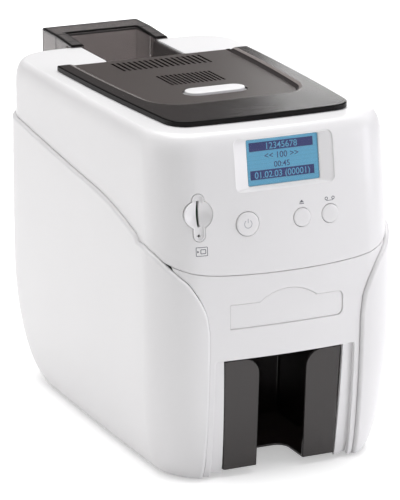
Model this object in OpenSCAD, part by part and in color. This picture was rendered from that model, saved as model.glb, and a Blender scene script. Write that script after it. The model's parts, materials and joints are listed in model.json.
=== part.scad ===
// Desktop printer for plastic cards, with a hinged lid over the ribbon, an open feed hopper
// behind it and a pull-out stacker in front. Width runs along X, the front faces -Y, +Z is up,
// and the origin is under the middle of the whole outline, on the table.

/* [Body] */
// Width over the two side covers
body_w = 184; // [176:1:221]
// Depth of the white body, front face to rear face
body_d = 288; // [276:1:346]
// Height of the white rim above the table
body_h = 240; // [232:1:288]
// Height of the rubber feet
foot_h = 4.8; // [3.6:0.2:6]
// Wall of the moulded covers
cover_wall = 2.5; // [2:0.1:3]
// How far the side covers stand proud of the rest
cover_lip = 2.6; // [1.6:0.1:3]
// Radius of the vertical corners at the front
front_corner = 28; // [22:1:34]
// Radius of the vertical corners at the rear
rear_corner = 24; // [16:1:30]
// How far the front face bows out between its corners
front_bow = 7; // [4:1:10]
// How far the rear face bows out between its corners
rear_bow = 3; // [1:1:5]
// How far the sides draw in at the table
sill_in = 16; // [12:0.5:18]
// Height over which the sides draw in
sill_h = 96; // [76:1:106]
// How far the top edge is rounded inwards
rim_in = 6; // [4:0.5:8]
// Height over which the top edge is rounded
rim_h = 16; // [10:1:20]
// Gap along every parting line
part_gap = 0.4; // [0.3:0.1:0.6]

/* [Card] */
// Length of a card
card_l = 85.6; // [70:0.1:104]
// Width of a card
card_w = 54; // [45:0.1:60]
// Thickness of a card
card_t = 0.8; // [0.6:0.1:1.2]
// Height of the underside of a card on its way through
path_h = 100.2; // [98:0.2:104]
// Outer radius of the driven rollers
roller_r = 7; // [6:0.5:7.5]
// Radius of the roller shafts
shaft_r = 3; // [2.5:0.25:3.5]

/* [Lid] */
// Width of the lid at its rear end
lid_w = 149; // [124:1:152]
// Length of the lid from its front edge to its hinge end
lid_l = 190; // [170:1:196]
// Thickness of the lid at its border
lid_t = 3.6; // [3.2:0.2:5]
// Depth of the tray in the middle of the lid
tray_depth = 1.6; // [1:0.2:2]
// Radius of the lid's hinge barrel
barrel_r = 3.2; // [2.8:0.1:3.6]
// Radius of the hinge pins
hinge_pin_r = 1.5; // [1.2:0.1:1.8]

/* [Hoppers] */
// How far the feed hopper stands out behind the body
feed_out = 48; // [44:1:52]
// Half width of the feed hopper outside the body
feed_half = 38.5; // [36:0.5:42]
// Height of the feed hopper's top above the rim
feed_rise = 4; // [4:1:8]
// Wall of both hoppers
hopper_wall = 2; // [1.6:0.1:2.4]
// Half width of the stacker at its top
stack_half = 44; // [43:0.5:46]
// Half width of the opening for the stacker
mouth_half = 52; // [49:1:54]
// Height of the opening for the stacker
mouth_h = 86.2; // [80:0.2:92]

/* [Front panel] */
// Width of the display's glass
glass_w = 53; // [46:1:58]
// Height of the display's glass
glass_h = 31; // [26:1:34]
// Radius of the power button
power_r = 8; // [6.5:0.5:9]
// Radius of the two small buttons
button_r = 6.2; // [5:0.2:7]
// Clearance round each button
button_gap = 0.35; // [0.3:0.05:0.6]
// Travel of the buttons
button_travel = 1; // [0.6:0.1:1.4]

/* [Mechanism] */
// Module of the gears
gear_m = 1; // [1:0.01:1.01]
// Width of the gears
gear_w = 5; // [4:0.5:6]
// Thickness of the steel side plates
plate_t = 1.2; // [1:0.1:1.6]
// Outer face of the steel side plates, from the middle
plate_x = 48; // [47.5:0.5:50]
// Radial clearance of shafts and pins in their bores
run_gap = 0.06; // [0.03:0.01:0.1]
// Clearance between pieces that only lie beside each other
side_gap = 0.3; // [0.3:0.05:0.5]

/* [Hidden] */
$fn = 48;

eps = 0.01;
total_d = body_d + feed_out;
front_y = -total_d / 2;
rear_y = front_y + body_d;
half_w = body_w / 2 - cover_lip;
skin_z = 2; // lowest edge of the covers
bulge_z = path_h + 10; // height at which the front face stands farthest forward
top_lean = 9; // how far the front leans back under its rim
foot_lean = 7.5; // how far the front draws in at the table
side_bow = 0.02;

white = "#eceaea";
smoke = "#4a4544";
steel = "#b9bcc0";
rubber = "#26262a";
board_green = "#2f6b45";
grey_plastic = "#8d9096";

// ---- Outline of the body -----------------------------------------------------------------

// Points of a quarter turn round a centre
function quarter(cx, cy, r, from, steps = 6) =
  [for (i = [0:steps]) [cx + r * cos(from + 90 * i / steps), cy + r * sin(from + 90 * i / steps)]];

// Points strictly between two ends
function between(a, b, steps) = [for (i = [1:steps - 1]) a + (b - a) * i / steps];

// A cubic curve through its first and last point
function curve(a, b, c, d, steps = 8) =
  [for (i = [0:steps]) let (t = i / steps, u = 1 - t)
    u * u * u * a + 3 * u * u * t * b + 3 * u * t * t * c + t * t * t * d];

// Rounded rectangle with points along its sides, so that it can be bowed
function loop(hw, yf, yr, rf, rr) = concat(
  quarter(hw - rf, yf + rf, rf, -90),
  between([hw, yf + rf], [hw, yr - rr], 4),
  quarter(hw - rr, yr - rr, rr, 0),
  between([hw - rr, yr], [rr - hw, yr], 4),
  quarter(rr - hw, yr - rr, rr, 90),
  between([-hw, yr - rr], [-hw, yf + rf], 4),
  quarter(rf - hw, yf + rf, rf, 180),
  between([rf - hw, yf], [hw - rf, yf], 6));

function bow(p, hw, mid, half) =
  [p.x * (1 - side_bow * pow((p.y - mid) / half, 2)),
   p.y + (p.y < mid ? -front_bow : rear_bow) * (1 - pow(p.x / hw, 2))];

// How far the front face lies behind its farthest point at a height
function front_inset(z) = z > bulge_z
  ? top_lean * pow((z - bulge_z) / (body_h - bulge_z - 18), 2)
  : foot_lean * pow((bulge_z - z) / (bulge_z - skin_z), 2);
// Part of a quarter ellipse: 0 at the far end of its height, `inset` at the near end
function rounding(inset, height, depth) =
  depth < 0 ? 0 : inset * (1 - sqrt(max(0, 1 - pow(depth / height, 2))));
function sill(z) = rounding(sill_in, sill_h, skin_z + sill_h - z);
function rim(z) = rounding(rim_in, rim_h, z - body_h + rim_h);
function side_inset(z) = sill(z) + rim(z) + (z > bulge_z ? 0.5 * pow((z - bulge_z) / (body_h - bulge_z), 2) : 0);
function rear_inset(z) = 0.6 * sill(z) + rim(z);
function rear_round(z) = rear_corner + 2 * sill(z);

// Heights of the rings that shape the body
ring_z = concat(
  [for (a = [0, 16, 32, 50, 70]) skin_z + sill_h * (1 - cos(a))],
  [for (i = [0:5]) skin_z + sill_h + (body_h - rim_h - skin_z - sill_h) * i / 5],
  [for (a = [22, 45, 67, 90]) body_h - rim_h + rim_h * sin(a)]);

// One ring of the body's outline, drawn in by d
function ring(z, d) =
  let (
    hw = half_w - side_inset(z) - d,
    yf = front_y + front_inset(z) + rim(z) + d,
    yr = rear_y - rear_inset(z) - d)
  [for (p = loop(hw, yf + front_bow, yr - rear_bow, front_corner - d, rear_round(z) - d))
    bow(p, hw, (yf + yr) / 2, (yr - yf) / 2)];

// Closed solid through a list of rings that all have as many points
module loft(rings) {
  n = len(rings[0]);
  points = [for (r = rings) for (p = r) p];
  walls = [for (k = [0:len(rings) - 2]) for (i = [0:n - 1])
    let (a = k * n + i, b = k * n + (i + 1) % n) each [[a, b + n, b], [a, a + n, b + n]]];
  floor_face = [for (i = [0:n - 1]) i];
  roof_face = [for (i = [n - 1:-1:0]) (len(rings) - 1) * n + i];
  polyhedron(points, concat(walls, [floor_face], [roof_face]), convexity = 6);
}

// The body as a solid, drawn in by d; an open one runs out past the table
module body_solid(d, open = false) {
  rings = [for (z = ring_z) if (z <= body_h - max(d, 0) - eps || d <= 0)
    [for (p = ring(z, d)) [p.x, p.y, z]]];
  drop = open ? [[for (p = ring(ring_z[0], d)) [p.x, p.y, skin_z - 5]]] : [];
  roof = d > 0 ? [[for (p = ring(body_h - d, d)) [p.x, p.y, body_h - d]]] : [];
  loft(concat(drop, rings, roof));
}

// Skin of the covers, out to `proud` beyond the body's outline
module cover_skin(proud = 0) {
  difference() {
    body_solid(-proud);
    body_solid(proud > 0 ? cover_wall - 1 : cover_wall, open = true);
  }
}

// ---- Places that several pieces share ----------------------------------------------------

// Feed hopper: the cards lie flat in it, long side along Y
hopper_back = rear_y + feed_out;
back_box = 22.6; // closed box behind the cards
chute_wall = 1.5;
chute_half = card_w / 2 + 1.3;
chute_back = hopper_back - back_box;
chute_front = chute_back - card_l - 0.6;
chute_outer = chute_half + chute_wall;

// Lid and its hinge line
lid_rear = chute_front - chute_wall - 0.5;
lid_front = lid_rear - lid_l;
lid_z = body_h + part_gap;
lid_top = lid_z + lid_t;
tray_z = lid_top - tray_depth;
hinge_y = lid_rear - barrel_r;
hinge_z = tray_z - barrel_r;
barrel_half = lid_w / 2 - 12.5;
lid_lap = 5; // how far the lid lies over the rim
release_y = -52; // place of the release button along the lid
release_travel = 2.6;
stem_half = 2.5;

// Gear train and rollers, all on one level
axle_z = path_h - roller_r;
pick_y = chute_front + 42;
transport_y = pick_y - 60 * gear_m;
platen_y = transport_y - 48 * gear_m;
exit_y = platen_y - 54 * gear_m;
pick_idler_y = (pick_y + transport_y) / 2;
transport_idler_y = (transport_y + platen_y) / 2;
exit_idler_y = (platen_y + exit_y) / 2;
pinion_z = axle_z - 21 * gear_m;
gear_x = plate_x + 2;
takeup_gear_x = gear_x + gear_w + 1.5;
card_top = path_h + card_t;
pinch_r = 5;
pinch_z = card_top + pinch_r;
clean_y = transport_y - 18;
clean_r = 7;
clean_z = card_top + clean_r;
idle_shaft_r = 2.5;
sleeve_half = card_w / 2 - 2;
plate_in = plate_x - plate_t;

// Ribbon and print head
supply_y = platen_y + 42;
supply_z = path_h + 37.8;
supply_r = 15;
takeup_y = platen_y - 46;
takeup_z = path_h + 23.8;
takeup_r = 10;
takeup_motor_y = takeup_y - 24 * gear_m;
spool_journal = 4;
cheek_in = 41;
cheek_t = 2.5;
head_pivot_y = platen_y + 60;
head_pivot_z = path_h + 57.8;
head_plate_z = head_pivot_z - 2.5;
carriage_top = path_h + 40;
carriage_y = platen_y - 1;
head_lift = 2;
guide_pin_x = 22;
guide_pin_r = 2;
pin_reach = 16;

// Base tray and floor of the stacker
tray_base_z = foot_h;
tray_t = 3;
deck_z = tray_base_z + tray_t;
stack_back = exit_y - roller_r - 2;
stack_front = front_y + 6.4;
stack_floor = tray_base_z + 0.8;
stack_foot = stack_half - 2;
stack_gap = 17.4; // half width of the way between the stacker's front flanges
stack_top = mouth_h - 1.8;

// Front panel, measured down from the rim where it belongs to the upper housing
seam_z = body_h - 95.8;
glass_z = body_h - 22.6;
button_z = body_h - 60.8;
power_x = -28.4;
eject_x = 11.5;
ribbon_x = 32.8;
insert_x = -62.2;
insert_z = body_h - 54.3;
insert_turn = -6; // the insert faces out along the curve of the corner
blank_z = mouth_h + 21.8;

function bow_at(x) = front_bow * pow(x / half_w, 2);
function front_at(x, z) = front_y + front_inset(z) + rim(z) + bow_at(x);
function rear_at(x, z) = rear_y - rear_inset(z) - rear_bow * pow(x / (half_w - side_inset(z)), 2);
function front_tilt(z) = atan(front_at(0, z + 1) - front_at(0, z));

// Puts a piece on the front face, with its own -Y pointing straight out of the face
module on_front(x, z) {
  translate([x, front_at(x, z), z]) rotate([-front_tilt(z), 0, 0]) children();
}

module box(from, to) {
  translate(from) cube(to - from);
}

// Bar along X, between two places
module bar(r, x0, x1, y, z) {
  translate([x0, y, z]) rotate([0, 90, 0]) cylinder(r = r, h = x1 - x0);
}

// ---- Parting lines -----------------------------------------------------------------------

// Upper edge of the side covers, seen from the side: a long gentle fall, then a steeper one
side_edge = concat(
  [[260, body_h - 25.3]],
  curve([-38, body_h - 55.8], [-66, body_h - 58.2], [-88, body_h - 62.5], [-118, body_h - 72.5]),
  [[-260, body_h - 117.7]]);

// Front edge of the side covers, seen from the front: the curve carries on down to the table
front_edge = concat(
  [[130, body_h - 52]],
  curve([99, body_h - 58], [93, body_h - 78], [85, body_h - 86.5], [71, body_h - 98.5]),
  curve([71, body_h - 98.5], [66, body_h - 106], [57, body_h - 116], [56.5, body_h - 134]),
  [[56.5, 0]]);

// Where the side covers lie, grown by g
module side_region(g) {
  difference() {
    rotate([90, 0, 90]) linear_extrude(300, center = true)
      polygon(concat([for (p = side_edge) p + [0, g]], [[-260, -20], [260, -20]]));
    translate([0, -120, 0]) rotate([90, 0, 0]) linear_extrude(200)
      polygon(concat(
        [for (p = front_edge) p - [g, 0]], [[56.5 - g, -20], [g - 56.5, -20]],
        [for (i = [len(front_edge) - 1:-1:0]) [g - front_edge[i].x, front_edge[i].y]]));
    box([g - 62, 60, -20], [62 - g, 260, body_h]);
  }
}

// Where the lower front panel lies, grown by g
module front_region(g) {
  translate([0, -100, 0]) rotate([90, 0, 0]) linear_extrude(200)
    polygon(concat([[-120, -20], [120, -20]],
      [for (x = [96:-8:-96]) [x, seam_z + 2.2 * pow(x / 62, 2) + 1.2 * pow(x / 62, 6) + g]]));
}

// Where the rear panel lies, grown by g
module rear_region(g) {
  box([-62 - g, 60, -20], [62 + g, 260, body_h - 44 + g]);
}

// Way for the feed hopper through the deck and the rear
module chute_slot() {
  slot_half = chute_outer + 0.6;
  box([-slot_half, lid_rear - part_gap, path_h - 3], [slot_half, 260, body_h + 20]);
}

// ---- Covers ------------------------------------------------------------------------------

module side_cover(side) {
  color(white) intersection() {
    cover_skin(cover_lip);
    side_region(0);
    box([side > 0 ? 20 : -120, -260, -20], [side > 0 ? 120 : -20, 260, body_h]);
  }
}

module left_side_cover() { side_cover(-1); }
module right_side_cover() { side_cover(1); }

// Outline of the lid, drawn in by d, and widening towards its hinge end
function lid_outline(d) =
  [for (p = loop(lid_w / 2 - d, lid_front + 2.5 + d, lid_rear - d, 14 - min(d, 6), 3))
    let (along = (lid_rear - p.y) / lid_l)
    [p.x * (1 - 0.114 * along * along),
     p.y - (p.y < 0 ? 2.5 * (1 - pow(p.x / lid_w * 2, 2)) : 0)]];

// Opening in the top that the lid covers
module lid_opening() {
  translate([0, 0, body_h - 12]) linear_extrude(30) difference() {
    polygon(lid_outline(lid_lap));
    translate([-100, hinge_y - 4]) square([200, 100]);
  }
  box([-barrel_half - 6, hinge_y - 5, body_h - 12], [barrel_half + 6, lid_rear + part_gap, body_h + 10]);
}

module display_recess() {
  depth = 4;
  border = 9.5;
  on_front(0, glass_z) hull() {
    box([-glass_w / 2, depth - 1, -glass_h / 2], [glass_w / 2, depth, glass_h / 2]);
    box([-glass_w / 2 - border, -3, -glass_h / 2 - 3], [glass_w / 2 + border, -1, glass_h / 2 + 2.4]);
  }
  on_front(0, glass_z) box([-glass_w / 2, 0, -glass_h / 2], [glass_w / 2, 12, glass_h / 2]);
}

module upper_housing() {
  color(white) difference() {
    union() {
      cover_skin();
      on_front(0, glass_z) difference() { // pocket that holds the display
        box([-glass_w / 2 - 12, 2, -glass_h / 2 - 5], [glass_w / 2 + 12, 6, glass_h / 2 + 3]);
        display_recess();
      }
    }
    side_region(part_gap);
    front_region(part_gap);
    rear_region(part_gap);
    lid_opening();
    chute_slot();
    display_recess();
    for (b = [[power_x, power_r], [eject_x, button_r], [ribbon_x, button_r]])
      on_front(b[0], button_z) rotate([90, 0, 0]) cylinder(r = b[1] + button_gap, h = 30, center = true);
    on_front(insert_x, insert_z) rotate([0, 0, insert_turn]) insert_block(-5, 12, side_gap);
  }
}

module mouth() {
  box([-mouth_half, -260, -20], [mouth_half, -110, mouth_h]);
}

// Card-shaped recess with a domed top, above the mouth
module blank_outline(g) {
  translate([0, -110, blank_z]) rotate([90, 0, 0]) linear_extrude(200) offset(g) {
    translate([-42, 0]) square([84, 17]);
    intersection() {
      translate([0.8, -9]) circle(33.5, $fn = 64);
      translate([-60, 0]) square([120, 60]);
    }
  }
}

module lower_front_panel() {
  color(white) difference() {
    union() {
      intersection() {
        cover_skin();
        front_region(0);
      }
      for (s = [-1, 1]) translate([s * (mouth_half + 1.1) - 1, 0, 0]) // side walls behind the mouth
        rotate([90, 0, 90]) linear_extrude(2) polygon(concat(
          [for (i = [0:5]) let (z = deck_z + side_gap + (mouth_h + 2 - deck_z - side_gap) * i / 5)
            [front_at(mouth_half, z) + cover_wall - 0.8, z]],
          [[stack_back, mouth_h + 2], [stack_back, deck_z + side_gap]]));
      box([-mouth_half - 2, front_y + cover_wall + 1.6, mouth_h], [mouth_half + 2, front_y + 12, mouth_h + 2]);
    }
    side_region(part_gap);
    mouth();
    intersection() {
      blank_outline(0);
      difference() {
        body_solid(-5);
        body_solid(1.5);
      }
    }
  }
}

module slot_blank_plate() {
  color(white) intersection() {
    difference() {
      body_solid(0.8);
      body_solid(1.5);
    }
    blank_outline(-side_gap);
  }
}

rear_screw_at = [[-54, 30], [54, 30], [-54, 156], [54, 156]];
usb_x = -24;
inlet_x = 22;
board_z = deck_z + 8;
socket_y = rear_y - 4.6; // outer ends of the sockets

module rear_panel() {
  color(white) difference() {
    intersection() {
      cover_skin();
      rear_region(0);
    }
    chute_slot();
    box([usb_x - 6.6, 60, board_z + 1.2], [usb_x + 6.6, 200, board_z + 13.2]);
    box([inlet_x - 7.6, 60, board_z + 1.2], [inlet_x + 7.6, 200, board_z + 13.2]);
    for (i = [0:9]) box([-48, 60, 60 + 6 * i], [-38, 200, 62.4 + 6 * i]);
    for (i = [0:9]) box([38, 60, 60 + 6 * i], [48, 200, 62.4 + 6 * i]);
    for (p = rear_screw_at) bar_y(1.6, p, 60, 200);
  }
}

// Bar along Y through a point given as X and Z
module bar_y(r, p, y0, y1) {
  translate([p.x, y1, p.y]) rotate([90, 0, 0]) cylinder(r = r, h = y1 - y0);
}

module rear_screws() {
  color(steel) for (p = rear_screw_at) {
    face = rear_at(p.x, p.y) + 0.4;
    difference() {
      union() {
        bar_y(1.5, p, face - 9, face + eps);
        bar_y(2.9, p, face, face + 1.6);
      }
      bar_y(1, p, face + 0.6, face + 2);
    }
  }
}

// ---- Base, feet and frame ----------------------------------------------------------------

feet_at = [[-56, front_y + 40], [56, front_y + 40], [-50, rear_y - 44], [50, rear_y - 44]];

module base_tray() {
  half = half_w - sill_in - 1.2;
  front_round = 22;
  back_round = 44;
  front = front_y + 22 + front_round;
  back = rear_y - 13.5 - back_round;
  color(white) difference() {
    union() {
      translate([0, 0, tray_base_z]) linear_extrude(tray_t) hull() for (s = [-1, 1]) {
        translate([s * (half - front_round), front]) circle(front_round);
        translate([s * (half - back_round), back]) circle(back_round);
      }
      for (s = [-1, 1]) translate([s * (half - 1), 0, 0])
        box([-1, front, deck_z - eps], [1, back, deck_z + 9]);
      for (x = [-36, 36]) for (y = [platen_y - 14, rear_y - 24])
        translate([x, y, deck_z - eps]) cylinder(r = 4, h = board_z - deck_z + eps);
    }
    box([-stack_foot - 0.4, -260, 0], [stack_foot + 0.4, stack_back + 0.4, 50]);
    for (p = feet_at) translate([p.x, p.y, tray_base_z - 1]) cylinder(r = 2.6, h = 10);
  }
}

module rubber_feet() {
  color(rubber) for (p = feet_at) translate([p.x, p.y, 0]) {
    cylinder(r1 = 6.4, r2 = 7.4, h = 1);
    translate([0, 0, 1]) cylinder(r = 7.4, h = tray_base_z - 1);
    translate([0, 0, tray_base_z - eps]) cylinder(r = 2.5, h = tray_t - 0.2);
  }
}

driven = [pick_y, transport_y, platen_y, exit_y];
pinch_at = [[transport_y, pinch_z], [exit_y, pinch_z], [clean_y, clean_z]];

module plate_outline() {
  polygon([
    [stack_back + 1, deck_z], [rear_y - 15, deck_z], [rear_y - 7.5, deck_z + 26], [rear_y - 7.5, path_h + 8],
    [head_pivot_y + 12, path_h + 12], [head_pivot_y + 9, head_pivot_z + 6],
    [head_pivot_y - 8, head_pivot_z + 6], [head_pivot_y - 16, path_h + 40],
    [takeup_y + 2, path_h + 36], [takeup_motor_y - 10, path_h + 36],
    [takeup_motor_y - 16, path_h + 28], [takeup_motor_y - 16, path_h + 14],
    [stack_back + 1, path_h + 8]]);
}

module side_plate(side) {
  x0 = side > 0 ? plate_in : -plate_x;
  color(steel) difference() {
    union() {
      translate([x0, 0, 0]) rotate([90, 0, 90]) linear_extrude(plate_t) plate_outline();
      translate([side * plate_x, 0, deck_z]) // foot of the plate, turned out over the tray
        box([side > 0 ? -eps : -9, stack_back + 4, 0], [side > 0 ? 9 : eps, rear_y - 20, plate_t]);
    }
    for (y = driven) bar(5.02, x0 - 1, x0 + 3, y, axle_z);
    for (p = pinch_at) bar(idle_shaft_r + run_gap, x0 - 1, x0 + 3, p.x, p.y);
    bar(3, x0 - 1, x0 + 3, head_pivot_y, head_pivot_z);
    bar(spool_journal + run_gap, x0 - 1, x0 + 3, takeup_y, takeup_z);
    if (side > 0) {
      bar(4.5, x0 - 1, x0 + 3, exit_idler_y, pinion_z);
      bar(3, x0 - 1, x0 + 3, takeup_motor_y, takeup_z);
    }
  }
}

module chassis_left_plate() { side_plate(-1); }

module chassis_right_plate() {
  side_plate(1);
  color(steel) for (y = [pick_idler_y, transport_idler_y, exit_idler_y]) {
    bar(2, plate_x, gear_x + gear_w + 1, y, axle_z);
    bar(3.2, gear_x + gear_w + 0.6, gear_x + gear_w + 1.4, y, axle_z);
  }
}

bars_at = [
  [exit_y + 16, deck_z + 12], [transport_y + 10, deck_z + 15],
  [pick_y - 34, path_h - 5.3], [pick_y + 10.6, path_h - 5.3]];

module chassis_cross_bars() {
  color(steel) for (p = bars_at) bar(3, -plate_in, plate_in, p.x, p.y);
}

module card_guides() {
  rail_z = path_h + 0.7;
  foot_z = axle_z + shaft_r + 0.2;
  color(grey_plastic) for (s = [-1, 1]) mirror([s > 0 ? 0 : 1, 0, 0]) difference() {
    union() {
      box([card_w / 2 - 1, exit_y - 6, foot_z], [card_w / 2 + 6, chute_front - chute_wall - 1.5, rail_z]);
      for (y = [exit_y + 12, platen_y - 15, transport_y - 13, transport_y + 11])
        box([card_w / 2 + 5, y, foot_z], [plate_in, y + 5, foot_z + 2.4]);
    }
    box([0, -260, path_h], [card_w / 2 + 0.4, 260, rail_z + 1]);
    for (y = driven) box([0, y - roller_r - 0.5, 0], [sleeve_half + 2.2, y + roller_r + 0.5, rail_z + 1]);
  }
}

module shaft_bushes() {
  color("#c9a35a") for (s = [-1, 1]) mirror([s > 0 ? 0 : 1, 0, 0]) for (y = driven) difference() {
    union() {
      bar(5, plate_in - 2, plate_x + 0.6, y, axle_z);
      bar(6.2, plate_in - 2, plate_in, y, axle_z);
    }
    bar(shaft_r + run_gap, plate_in - 3, plate_x + 2, y, axle_z);
  }
}

// ---- Rollers and gears -------------------------------------------------------------------

// Rubber sleeve on a steel shaft that reaches out to its gear
module driven_roller(y, sleeve_r) {
  color(steel) bar(shaft_r, -plate_x - 2, gear_x + gear_w + 0.6, y, axle_z);
  color(rubber) difference() {
    bar(sleeve_r, -sleeve_half, sleeve_half, y, axle_z);
    bar(shaft_r, -sleeve_half - 1, sleeve_half + 1, y, axle_z);
  }
}

module pick_roller() { driven_roller(pick_y, roller_r + 0.3); }
module transport_roller() { driven_roller(transport_y, roller_r); }
module platen_roller() { driven_roller(platen_y, roller_r); }
module exit_roller() { driven_roller(exit_y, roller_r); }

module idle_roller(p, r, tint) {
  color(steel) bar(idle_shaft_r, -plate_x - 1, plate_x + 1, p.x, p.y);
  color(tint) difference() {
    bar(r, -sleeve_half, sleeve_half, p.x, p.y);
    bar(idle_shaft_r, -sleeve_half - 1, sleeve_half + 1, p.x, p.y);
  }
}

module transport_pinch_roller() { idle_roller(pinch_at[0], pinch_r, steel); }
module exit_pinch_roller() { idle_roller(pinch_at[1], pinch_r, steel); }
module cleaning_roller() { idle_roller(pinch_at[2], clean_r, "#5fa8c8"); }

// Spur gear with straight flanks. Its first tooth points along +Y, turned by phase
module gear(teeth, y, z, bore, phase = 0, x = gear_x, hub = 0) {
  pitch = gear_m * teeth / 2;
  step = 360 / teeth;
  root = pitch - 1.15 * gear_m;
  tip = pitch + 0.8 * gear_m;
  translate([x, y, z]) rotate([90, 0, 90]) rotate(phase) difference() {
    union() {
      linear_extrude(gear_w) polygon([for (i = [0:teeth - 1]) for (p = [[root, -0.3], [tip, -0.12], [tip, 0.12], [root, 0.3]])
        p[0] * [cos(step * (i + p[1])), sin(step * (i + p[1]))]]);
      if (hub > 0) translate([0, 0, -1.2]) cylinder(r = hub, h = gear_w + 1.2);
    }
    translate([0, 0, -3]) cylinder(r = bore, h = gear_w + 6);
    if (teeth > 16) for (a = [0:60:300]) rotate(a)
      translate([(root + bore) / 2, 0, -3]) cylinder(r = (root - bore) / 5, h = gear_w + 6);
  }
}

module pick_gear() { color(white) gear(24, pick_y, axle_z, shaft_r, hub = 4.4); }
module transport_gear() { color(white) gear(24, transport_y, axle_z, shaft_r, hub = 4.4); }
module platen_gear() { color(white) gear(24, platen_y, axle_z, shaft_r, hub = 4.4); }
module exit_gear() { color(white) gear(24, exit_y, axle_z, shaft_r, hub = 4.4); }
module pick_idler_gear() { color(white) gear(36, pick_idler_y, axle_z, 2 + run_gap, phase = 5); }
module transport_idler_gear() { color(white) gear(24, transport_idler_y, axle_z, 2 + run_gap, phase = 7.5); }
module exit_idler_gear() { color(white) gear(30, exit_idler_y, axle_z, 2 + run_gap, phase = 6); }

module feed_motor() {
  half = 15;
  length = 26;
  color(steel) difference() {
    union() {
      translate([plate_in - length, exit_idler_y, pinion_z]) rotate([0, 90, 0])
        linear_extrude(length) offset(delta = 3, chamfer = true) square(2 * half - 6, center = true);
      bar(4.4, plate_in - 1, plate_x + 0.6, exit_idler_y, pinion_z);
    }
    bar(1.5 + run_gap, plate_in - 12, plate_x + 2, exit_idler_y, pinion_z);
  }
}

module motor_pinion() {
  color("#c9a35a") gear(12, exit_idler_y, pinion_z, 1.5, phase = 15);
  color(steel) bar(1.5, plate_in - 11, gear_x + gear_w + 1, exit_idler_y, pinion_z);
}

module takeup_gear() { color(white) gear(36, takeup_y, takeup_z, 3, x = takeup_gear_x); }

module takeup_motor() {
  color(steel) difference() {
    union() {
      bar(12, plate_in - 28, plate_in, takeup_motor_y, takeup_z);
      bar(2.9, plate_in - 1, plate_x + 0.6, takeup_motor_y, takeup_z);
    }
    bar(1.2 + run_gap, plate_in - 12, plate_x + 2, takeup_motor_y, takeup_z);
  }
}

module takeup_pinion() {
  color("#c9a35a") gear(12, takeup_motor_y, takeup_z, 1.2, phase = 15, x = takeup_gear_x);
  color(steel) bar(1.2, plate_in - 11, takeup_gear_x + gear_w + 1, takeup_motor_y, takeup_z);
}

// ---- Ribbon and print head ---------------------------------------------------------------

module ribbon_cassette() {
  cheek = [
    [takeup_y - 12, takeup_z - 8], [takeup_y - 12, takeup_z + 6], [takeup_y - 4, takeup_z + 16],
    [supply_y - 8, supply_z + 13], [supply_y + 12, supply_z + 13], [supply_y + 20, supply_z + 4],
    [supply_y + 20, supply_z - 14], [supply_y + 6, card_top + 17], [takeup_y + 10, card_top + 13]];
  color("#d8d6d2") difference() {
    union() {
      for (x = [-cheek_in - cheek_t, cheek_in]) translate([x, 0, 0])
        rotate([90, 0, 90]) linear_extrude(cheek_t) polygon(cheek);
      bar(2.5, -cheek_in - eps, cheek_in + eps, supply_y + 18, supply_z - 8);
      bar(2, -cheek_in - eps, cheek_in + eps, takeup_y - 3, takeup_z + 13.4);
      for (s = [-1, 1]) translate([s * (cheek_in + cheek_t), 0, 0]) // lugs that stand on the side plates
        box([s > 0 ? -eps : cheek_in - plate_in + cheek_t, supply_y, supply_z - 10],
            [s > 0 ? plate_in - cheek_in - cheek_t : eps, supply_y + 6, supply_z - 4]);
    }
    for (p = [[supply_y, supply_z], [takeup_y, takeup_z]])
      bar(spool_journal + run_gap, -60, 60, p.x, p.y);
  }
}

module spool(p, roll_r, core_r, tint) {
  color(white) difference() {
    union() {
      bar(spool_journal, -cheek_in - cheek_t - 0.6, cheek_in + cheek_t + 0.6, p.x, p.y);
      bar(core_r, -cheek_in + side_gap, cheek_in - side_gap, p.x, p.y);
    }
    bar(2, -60, cheek_in - 6, p.x, p.y);
  }
  color(tint) difference() {
    bar(roll_r, -card_w / 2 - 2, card_w / 2 + 2, p.x, p.y);
    bar(core_r, -60, 60, p.x, p.y);
  }
}

module supply_spool() { spool([supply_y, supply_z], supply_r, 7, "#3b3f78"); }

module takeup_spool() {
  spool([takeup_y, takeup_z], takeup_r, 7, "#5a3350");
  color(steel) bar(3, cheek_in + cheek_t + 0.6, takeup_gear_x + gear_w, takeup_y, takeup_z);
}

film_z = card_top + 0.25;
film_t = 0.12;

// Thin flat stretch of film between two places in Y and Z
module film_run(a, b) {
  run = b - a;
  translate([-card_w / 2 - 1, a.x, a.y]) rotate([atan2(run.y, run.x), 0, 0])
    cube([card_w + 2, norm(run), film_t]);
}

// Where a line from p just passes a roll of radius r at c, on its lower side
function touch(p, c, r, side) =
  let (v = c - p, far = norm(v), a = atan2(v.y, v.x) + side * asin(r / far), reach = sqrt(far * far - r * r))
  p + reach * [cos(a), sin(a)];

module ribbon_film() {
  front_turn = [carriage_y - 13, film_z];
  rear_turn = [carriage_y + 13, film_z];
  color("#3b3f78") {
    film_run(touch(front_turn, [takeup_y, takeup_z], takeup_r + side_gap, 1), front_turn);
    film_run(front_turn, rear_turn);
    film_run(rear_turn, touch(rear_turn, [supply_y, supply_z], supply_r + side_gap, 1));
  }
}

module head_pivot_shaft() {
  color(steel) bar(3, -plate_x - 1, plate_x + 1, head_pivot_y, head_pivot_z);
}

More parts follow.
